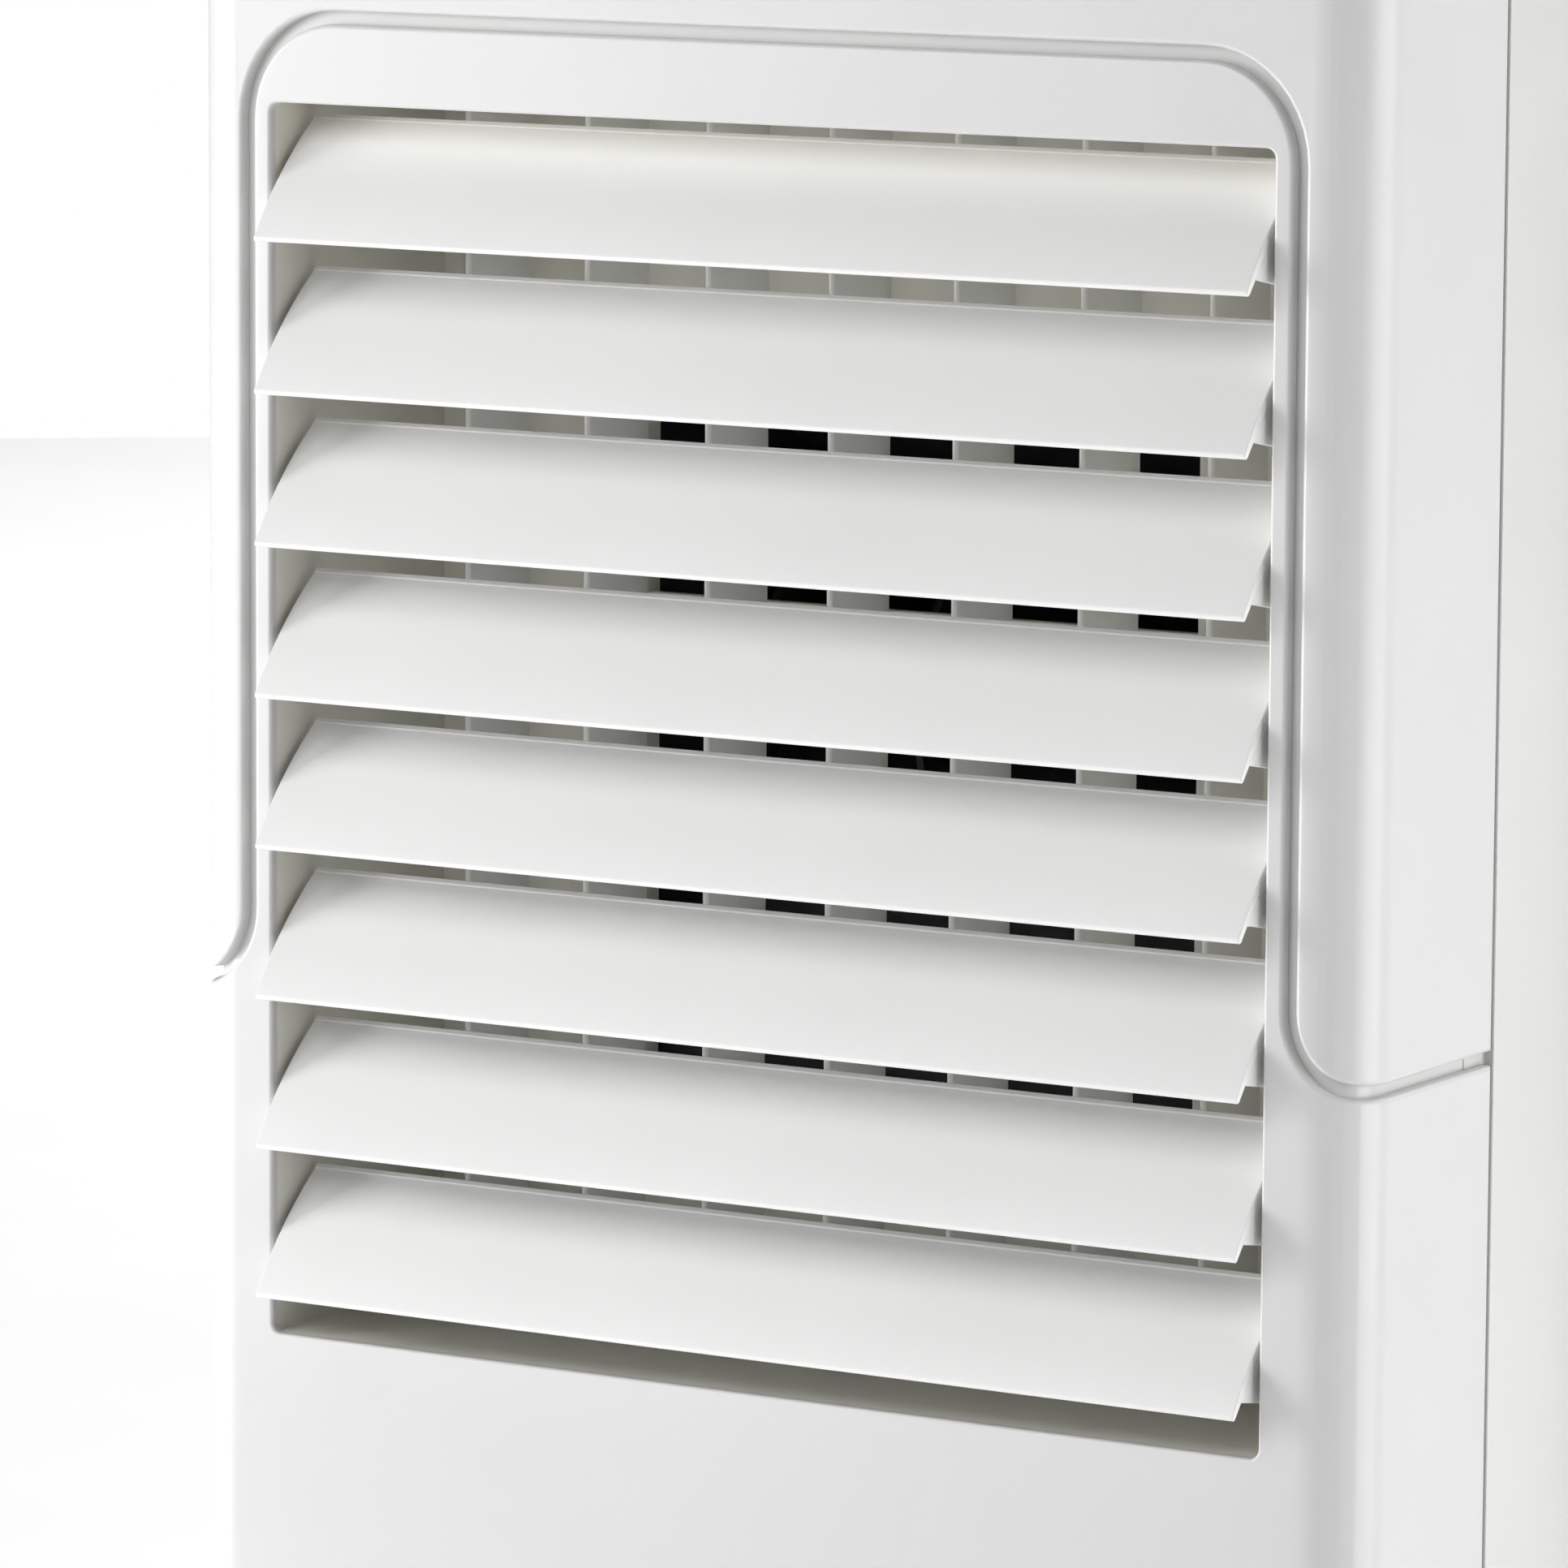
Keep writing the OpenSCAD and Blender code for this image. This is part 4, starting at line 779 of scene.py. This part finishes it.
def blade_outline():
    """Side view of a blade about its axis, front lip at -u: crowned top, hollow underside, round edges."""
    half = CHORD / 2
    steps, lip_steps = 20, 6
    edge_t = 0.8                            # half the blade's thickness at its edges
    bead, bead_w, rise_w = 0.3, 2.2, 0.5    # raised bead along the rear edge, and the width of its flank
    bead_u = half - bead_w
    points = []

    def step(u):
        t = min(1.0, max(0.0, (u - bead_u) / rise_w))
        return bead * t * t * (3 - 2 * t)

    inner = half - LIP_T
    for k in range(steps + 1):
        u = -inner + 2 * inner * k / steps
        points.append((u, -edge_t + CROWN_UNDER * (1 - (u / inner) ** 2)))
    for k in range(1, lip_steps):
        a = -pi / 2 + pi * k / lip_steps
        points.append((inner + LIP_T * cos(a), bead / 2 + (LIP_T + 0.1) * sin(a)))
    tops = [inner, bead_u + rise_w, bead_u + rise_w / 2, bead_u]
    tops += [bead_u - (bead_u + inner) * k / steps for k in range(1, steps + 1)]
    for u in tops:
        points.append((u, edge_t + CROWN_TOP * (1 - (u / inner) ** 2) + step(u)))
    for k in range(1, lip_steps):
        a = pi / 2 + pi * k / lip_steps
        points.append((-inner + LIP_T * cos(a), edge_t * sin(a)))
    return [(u + AXIS_BACK - half, v + AXIS_DROP) for u, v in points]


def arc_points(r, degrees, u=0.0, v=0.0):
    """Points at the given angles of a circle about (u, v)."""
    return [(u + r * cos(radians(a)), v + r * sin(radians(a))) for a in degrees]


def tilted(z0, angle):
    """Place function for a side view about a louvre's axis: u towards the rear, v up, w along X."""
    c, s = cos(radians(angle)), sin(radians(angle))
    return lambda u, v, w: Vector((w, FRONT + AXIS_D + u * c - v * s, z0 + u * s + v * c))


def louvre(name):
    """The first louvre, in its place: blade, two ears, their pins, and the crank on the left."""
    z0 = OUTLET_TOP - FIRST_DROP
    at = tilted(z0, TILT)
    blade = blade_outline()
    ear = [(-19.0, AXIS_DROP - 0.4), (-11.4, -3.7)]
    ear += arc_points(4.5, range(256, 355, 14))
    ear += [(7.0, AXIS_DROP - 0.4)]
    inner = OUTLET[0] / 2 + DUCT_WALL + 0.6
    pieces = [prism(lambda g: grow(blade, g), at, -LOUVRE_HALF, LOUVRE_HALF, SOFT_R)]
    for lo, hi in ((-LOUVRE_HALF, -LOUVRE_HALF + EAR_T), (LOUVRE_HALF - EAR_T, LOUVRE_HALF)):
        pieces.append(prism(lambda g: grow(ear, g), at, lo, hi, SOFT_R))
    axis = (0, FRONT + AXIS_D, z0)
    tip = LOUVRE_HALF + 4
    chamfer = 0.4
    pieces.append(turned([(PIN_R, LOUVRE_HALF - 1), (PIN_R, tip - chamfer), (PIN_R - chamfer, tip)],
                         axis, (1, 0, 0), 32))
    pieces.append(turned([(PIN_R, -inner - 1), (PIN_R, -LOUVRE_HALF + 1)], axis, (1, 0, 0), 32))
    arm = arc_points(CRANK_HUB_R, range(-60, 61, 12))
    arm += arc_points(CRANK_END_R, range(120, 241, 12), -CRANK)
    crank = tilted(z0, CRANK_ANGLE)
    outer = -inner - CRANK_T
    pieces.append(prism(lambda g: grow(arm, g), lambda u, v, w: crank(-u, -v, w), outer, -inner, SOFT_R))
    pin = crank(CRANK, 0, 0)
    pieces.append(turned([(LINK_PIN_R, outer - LINK_T - 1), (LINK_PIN_R, outer + 1)], pin, (1, 0, 0), 24))
    return join(name, pieces)


def louvres():
    """Eight alike, a pitch apart."""
    first = louvre("louvre_blade_1")
    pieces = [first]
    for i in range(1, LOUVRES):
        piece = bpy.data.objects.new(f"louvre_blade_{i + 1}", first.data.copy())
        piece.data.transform(Matrix.Translation((0, 0, -i * PITCH * MM)))
        bpy.context.scene.collection.objects.link(piece)
        weigh_normals(piece)
        pieces.append(piece)
    for i, piece in enumerate(pieces):
        stand_in(piece, f"louvre_{i + 1}")


# ---------- Vanes ----------

VANE_PITCH = OUTLET[0] / (VANES + 1)
VANE_CHORD = 29.0
VANE_D = 36.0 + VANE_CHORD / 2
VANE_T = 1.8
VANE_NOSE = 0.9           # depth of the rounded front edge
VANE_TAPER = 6.0          # length of the taper to the rear edge
VANE_END = 1.0            # gap between a vane's ends and the duct
VANE_PIN = 2.0
VANE_ARM = 12.0
VANE_LINK_PIN = 1.5
VANE_ARM_Z = OUTLET_BOTTOM - DUCT_WALL - 0.6
VANE_LINK_Z = VANE_ARM_Z - CRANK_T - 0.4 - LINK_T


def vane(i):
    """Upright vane with a rounded front edge, its two pins and its arm under the duct's floor."""
    x0 = (i - (VANES - 1) / 2) * VANE_PITCH
    drive = i == (VANES - 1) // 2
    half = VANE_CHORD / 2
    nose = -half + VANE_NOSE
    outline = [(-VANE_T / 2, nose)] + arc_points(VANE_NOSE, range(200, 341, 20), 0, nose)
    outline += [(VANE_T / 2, nose), (VANE_T / 2, half - VANE_TAPER), (0.5, half - SOFT_R),
                (-0.5, half - SOFT_R), (-VANE_T / 2, half - VANE_TAPER)]

    def at(u, v, w):
        return Vector((x0 + u, FRONT + VANE_D + v, w))

    base = Vector((x0, FRONT + VANE_D, 0))
    pieces = [prism(lambda g: grow(outline, g), at, OUTLET_BOTTOM + VANE_END, OUTLET_TOP - VANE_END, SOFT_R)]
    pieces.append(turned([(VANE_PIN, OUTLET_TOP - 2), (VANE_PIN, OUTLET_TOP + 2)], base, (0, 0, 1), 24))
    foot = VANE_LINK_Z - 14 if drive else VANE_ARM_Z - CRANK_T
    pieces.append(turned([(VANE_PIN, foot), (VANE_PIN, OUTLET_BOTTOM + 2)], base, (0, 0, 1), 24))
    arm = arc_points(CRANK_HUB_R, range(-150, -29, 12))
    arm += arc_points(CRANK_END_R, range(30, 151, 12), 0, VANE_ARM)
    pieces.append(prism(lambda g: grow(arm, g), at, VANE_ARM_Z - CRANK_T, VANE_ARM_Z, SOFT_R))
    pin = Vector((x0, FRONT + VANE_D + VANE_ARM, 0))
    pieces.append(turned([(VANE_LINK_PIN, VANE_LINK_Z - 0.6), (VANE_LINK_PIN, VANE_ARM_Z - 1)],
                         pin, (0, 0, 1), 20))
    stand_in(join(f"vane_slat_{i + 1}", pieces), f"vane_{i + 1}")


# ---------- Controls ----------

BUTTON_R = 5.7
BUTTON_X = {"power": -8, "mode": 12, "fan": 32, "cooler": 52, "warmer": 72}
BUTTON_PROUD = 0.6
BUTTON_BACK = 6.1
COLLAR_D = 5.2            # front of the collar that holds the cap behind the panel
COLLAR_R = BUTTON_R + 1.6
MARK_T = 0.4
MARK_R = 0.06
STROKE = 0.45             # width of the marks' strokes
STROKE_L = 3.8


def button(kind, x):
    """Dished round cap with a collar behind the panel, and its raised generic mark."""
    proud = -BUTTON_PROUD
    dish = [(BUTTON_R * 0.72 * k / 6, proud + 0.35 * cos(pi / 2 * k / 6)) for k in range(7)]
    rim = [(BUTTON_R - 0.5, proud), (BUTTON_R - 0.15, proud + 0.12), (BUTTON_R, proud + 0.5)]
    back = [(BUTTON_R, COLLAR_D), (COLLAR_R, COLLAR_D), (COLLAR_R, BUTTON_BACK), (0, BUTTON_BACK)]
    centre = Vector((x, FRONT, PANEL_Z))
    cap_piece = turned(dish + rim + back, centre, (0, 1, 0), 48, name=f"button_cap_{kind}")
    stand_in(cap_piece, f"button_{kind}")
    mark = button_mark(kind, x)
    wear(mark, "motor_dark")
    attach(mark, f"button_{kind}")


def bar(x, z, w, h, turn=0.0):
    """Raised bar of a button's mark, lying in the dish."""
    outline = rounded_rect(w, h, min(w, h) / 2.2)
    c, s = cos(radians(turn)), sin(radians(turn))
    lift = -BUTTON_PROUD + 0.1

    def at(u, v, d):
        return Vector((x + u * c - v * s, FRONT + d, z + u * s + v * c))

    return prism(lambda g: grow(outline, g), at, lift, lift + MARK_T, MARK_R)


def arc_mark(x, z, r, w, start, end):
    """Raised arc of a button's mark."""
    steps = 20
    turns = [start + (end - start) * k / steps for k in range(steps + 1)]
    outline = arc_points(r + w / 2, turns) + arc_points(r - w / 2, reversed(turns))
    lift = -BUTTON_PROUD + 0.1
    return prism(lambda g: grow(outline, g), lambda u, v, d: Vector((x + u, FRONT + d, z + v)),
                 lift, lift + MARK_T, MARK_R)


def button_mark(kind, x):
    """Generic marks: a broken ring, three lines, three blades, a minus and a plus."""
    z = PANEL_Z
    if kind == "power":
        parts = [arc_mark(x, z, 2.1, STROKE, 125, 415), bar(x, z + 1.9, STROKE, 2.0)]
    elif kind == "mode":
        parts = [bar(x, z + dz, 3.6, STROKE) for dz in (-1.2, 0, 1.2)]
    elif kind == "fan":
        blades = (90, 210, 330)
        places = arc_points(1.1, blades, x, z)
        parts = [bar(u, v, 2.2, 0.7, a + 25) for a, (u, v) in zip(blades, places)]
    elif kind == "cooler":
        parts = [bar(x, z, STROKE_L, STROKE)]
    else:
        parts = [bar(x, z, STROKE_L, STROKE), bar(x, z, STROKE, STROKE_L)]
    return join(f"button_mark_{kind}", parts)


# ---------- CAD nodes that stay, with softened edges ----------

SOFTENED = {
    "rear_cabinet": 0.4, "base_pan": 0.3, "bulkhead": 0.25, "side_rails": 0.35,
    "control_panel": 0.35, "display_window": 0.25, "intake_grille": 0.4, "air_filter": 0.3,
    "electrical_box": 0.25, "drain_tray": 0.4, "outlet_duct": 0.3, "control_board": 0.15,
    "louvre_link": 0.3, "vane_link": 0.3, "blower_housing": 0.3, "fan_shroud": 0.3, "feet": 0.8,
    "cord_gland": 0.4, "blower_motor": 0.6, "fan_motor": 0.6, "compressor": 0.8, "accumulator": 0.5,
    "swing_motor": 0.4, "run_capacitor": 0.5, "blower_bearing": 0.3, "condenser_fan": 0.3,
}


def soften(node, width):
    """Rounds a CAD node's sharp edges with modifiers, leaving its mesh alone."""
    piece = frame["nodes"][node]
    weld = piece.modifiers.new("weld", "WELD")
    weld.merge_threshold = 0.00001
    bevel = piece.modifiers.new("edges", "BEVEL")
    bevel.width = width * MM
    bevel.segments = 2
    bevel.limit_method = "ANGLE"
    bevel.angle_limit = radians(38)
    bevel.use_clamp_overlap = True
    weigh_normals(piece)


def dress_nodes():
    """Gives every CAD node its finish, and soft edges to those that show."""
    for node, piece in frame["nodes"].items():
        piece.data.materials.clear()
        piece.data.materials.append(FINISHES[SLOT_OF[node]])
        if node in SOFTENED and not piece.hide_render:
            soften(node, SOFTENED[node])


# ---------- Camera, lights and floor ----------

def aim(obj, target, back, roll=0.0):
    """Turns an object's -Z towards the target, which lies against the direction back, with its top up."""
    back = Vector(back).normalized()
    right = Vector((0, 0, 1)).cross(back).normalized()
    up = back.cross(right)
    right, up = (right * cos(roll) + up * sin(roll), up * cos(roll) - right * sin(roll))
    turn = Matrix((right, up, back)).transposed()
    obj.matrix_world = Matrix.Translation(target) @ turn.to_4x4()


def camera():
    """A long lens from the right and a little above, as in the photograph."""
    azimuth, elevation, roll = radians(31.0), radians(7.99), radians(0.34)
    distance = 2.2195
    data = bpy.data.cameras.new("camera")
    data.lens = 209.0
    data.sensor_width = 36.0
    data.clip_end = 50
    eye = bpy.data.objects.new("camera", data)
    bpy.context.scene.collection.objects.link(eye)
    back = Vector((sin(azimuth) * cos(elevation), -cos(azimuth) * cos(elevation), sin(elevation)))
    target = Vector((9.1, FRONT, OUTLET_BOTTOM + 152.7)) * MM
    aim(eye, target + back * distance, back, roll)
    bpy.context.scene.camera = eye


def softbox(name, place, target, size, watts):
    """Rectangular area light at a place, turned to a target."""
    data = bpy.data.lights.new(name, "AREA")
    data.shape = "RECTANGLE"
    data.size, data.size_y = size
    data.energy = watts
    lamp = bpy.data.objects.new(name, data)
    bpy.context.scene.collection.objects.link(lamp)
    aim(lamp, Vector(place), Vector(place) - Vector(target))


def lights():
    """Soft studio light from the left, with a white backdrop that only the camera sees."""
    middle = (0, -0.15, 0.52)       # the outlet
    softbox("key", (-1.35, -0.85, 0.60), middle, (0.6, 0.9), 17.0)
    softbox("near", (-0.95, -1.15, 0.72), middle, (0.6, 0.7), 3.3)
    softbox("high", (-0.50, -1.50, 1.50), middle, (0.9, 0.9), 11.0)
    softbox("side", (1.60, 0.10, 0.60), middle, (1.0, 1.6), 20.5)
    softbox("fill", (1.00, -2.40, 1.20), middle, (0.8, 0.8), 4.0)
    softbox("back", (-0.60, 4.50, 3.20), (-1.0, 3.4, 0.0), (7.0, 7.0), 400.0)
    world = bpy.data.worlds.new("studio")
    world.use_nodes = True
    tree = world.node_tree
    ambient = tree.nodes["Background"]
    ambient.inputs["Color"].default_value = (1, 1, 1, 1)
    ambient.inputs["Strength"].default_value = 0.05
    backdrop = tree.nodes.new("ShaderNodeBackground")
    backdrop.inputs["Color"].default_value = (1, 1, 1, 1)
    rays = tree.nodes.new("ShaderNodeLightPath")
    either = tree.nodes.new("ShaderNodeMixShader")
    tree.links.new(rays.outputs["Is Camera Ray"], either.inputs["Fac"])
    tree.links.new(ambient.outputs[0], either.inputs[1])
    tree.links.new(backdrop.outputs[0], either.inputs[2])
    tree.links.new(either.outputs[0], tree.nodes["World Output"].inputs["Surface"])
    bpy.context.scene.world = world
    bpy.context.scene.view_settings.view_transform = "Standard"


def floor():
    """Plain pale floor, a disc round the object."""
    mesh = bmesh.new()
    bmesh.ops.create_circle(mesh, cap_ends=True, radius=6.0, segments=96)
    data = bpy.data.meshes.new("floor")
    mesh.to_mesh(data)
    mesh.free()
    piece = bpy.data.objects.new("floor", data)
    bpy.context.scene.collection.objects.link(piece)
    f = Finish("floor", (0.90, 0.90, 0.90), 0.7)
    f.paint(f.mix(f.span(f.noise(3.0, 4.0), 0.3, 0.7), (0.89, 0.89, 0.89), (0.92, 0.92, 0.915)))
    data.materials.append(f.material)


camera()
lights()
floor()
front_cover()
upper_shell()
louvres()
for number in range(VANES):
    vane(number)
for name, place_x in BUTTON_X.items():
    button(name, place_x)
dress_nodes()
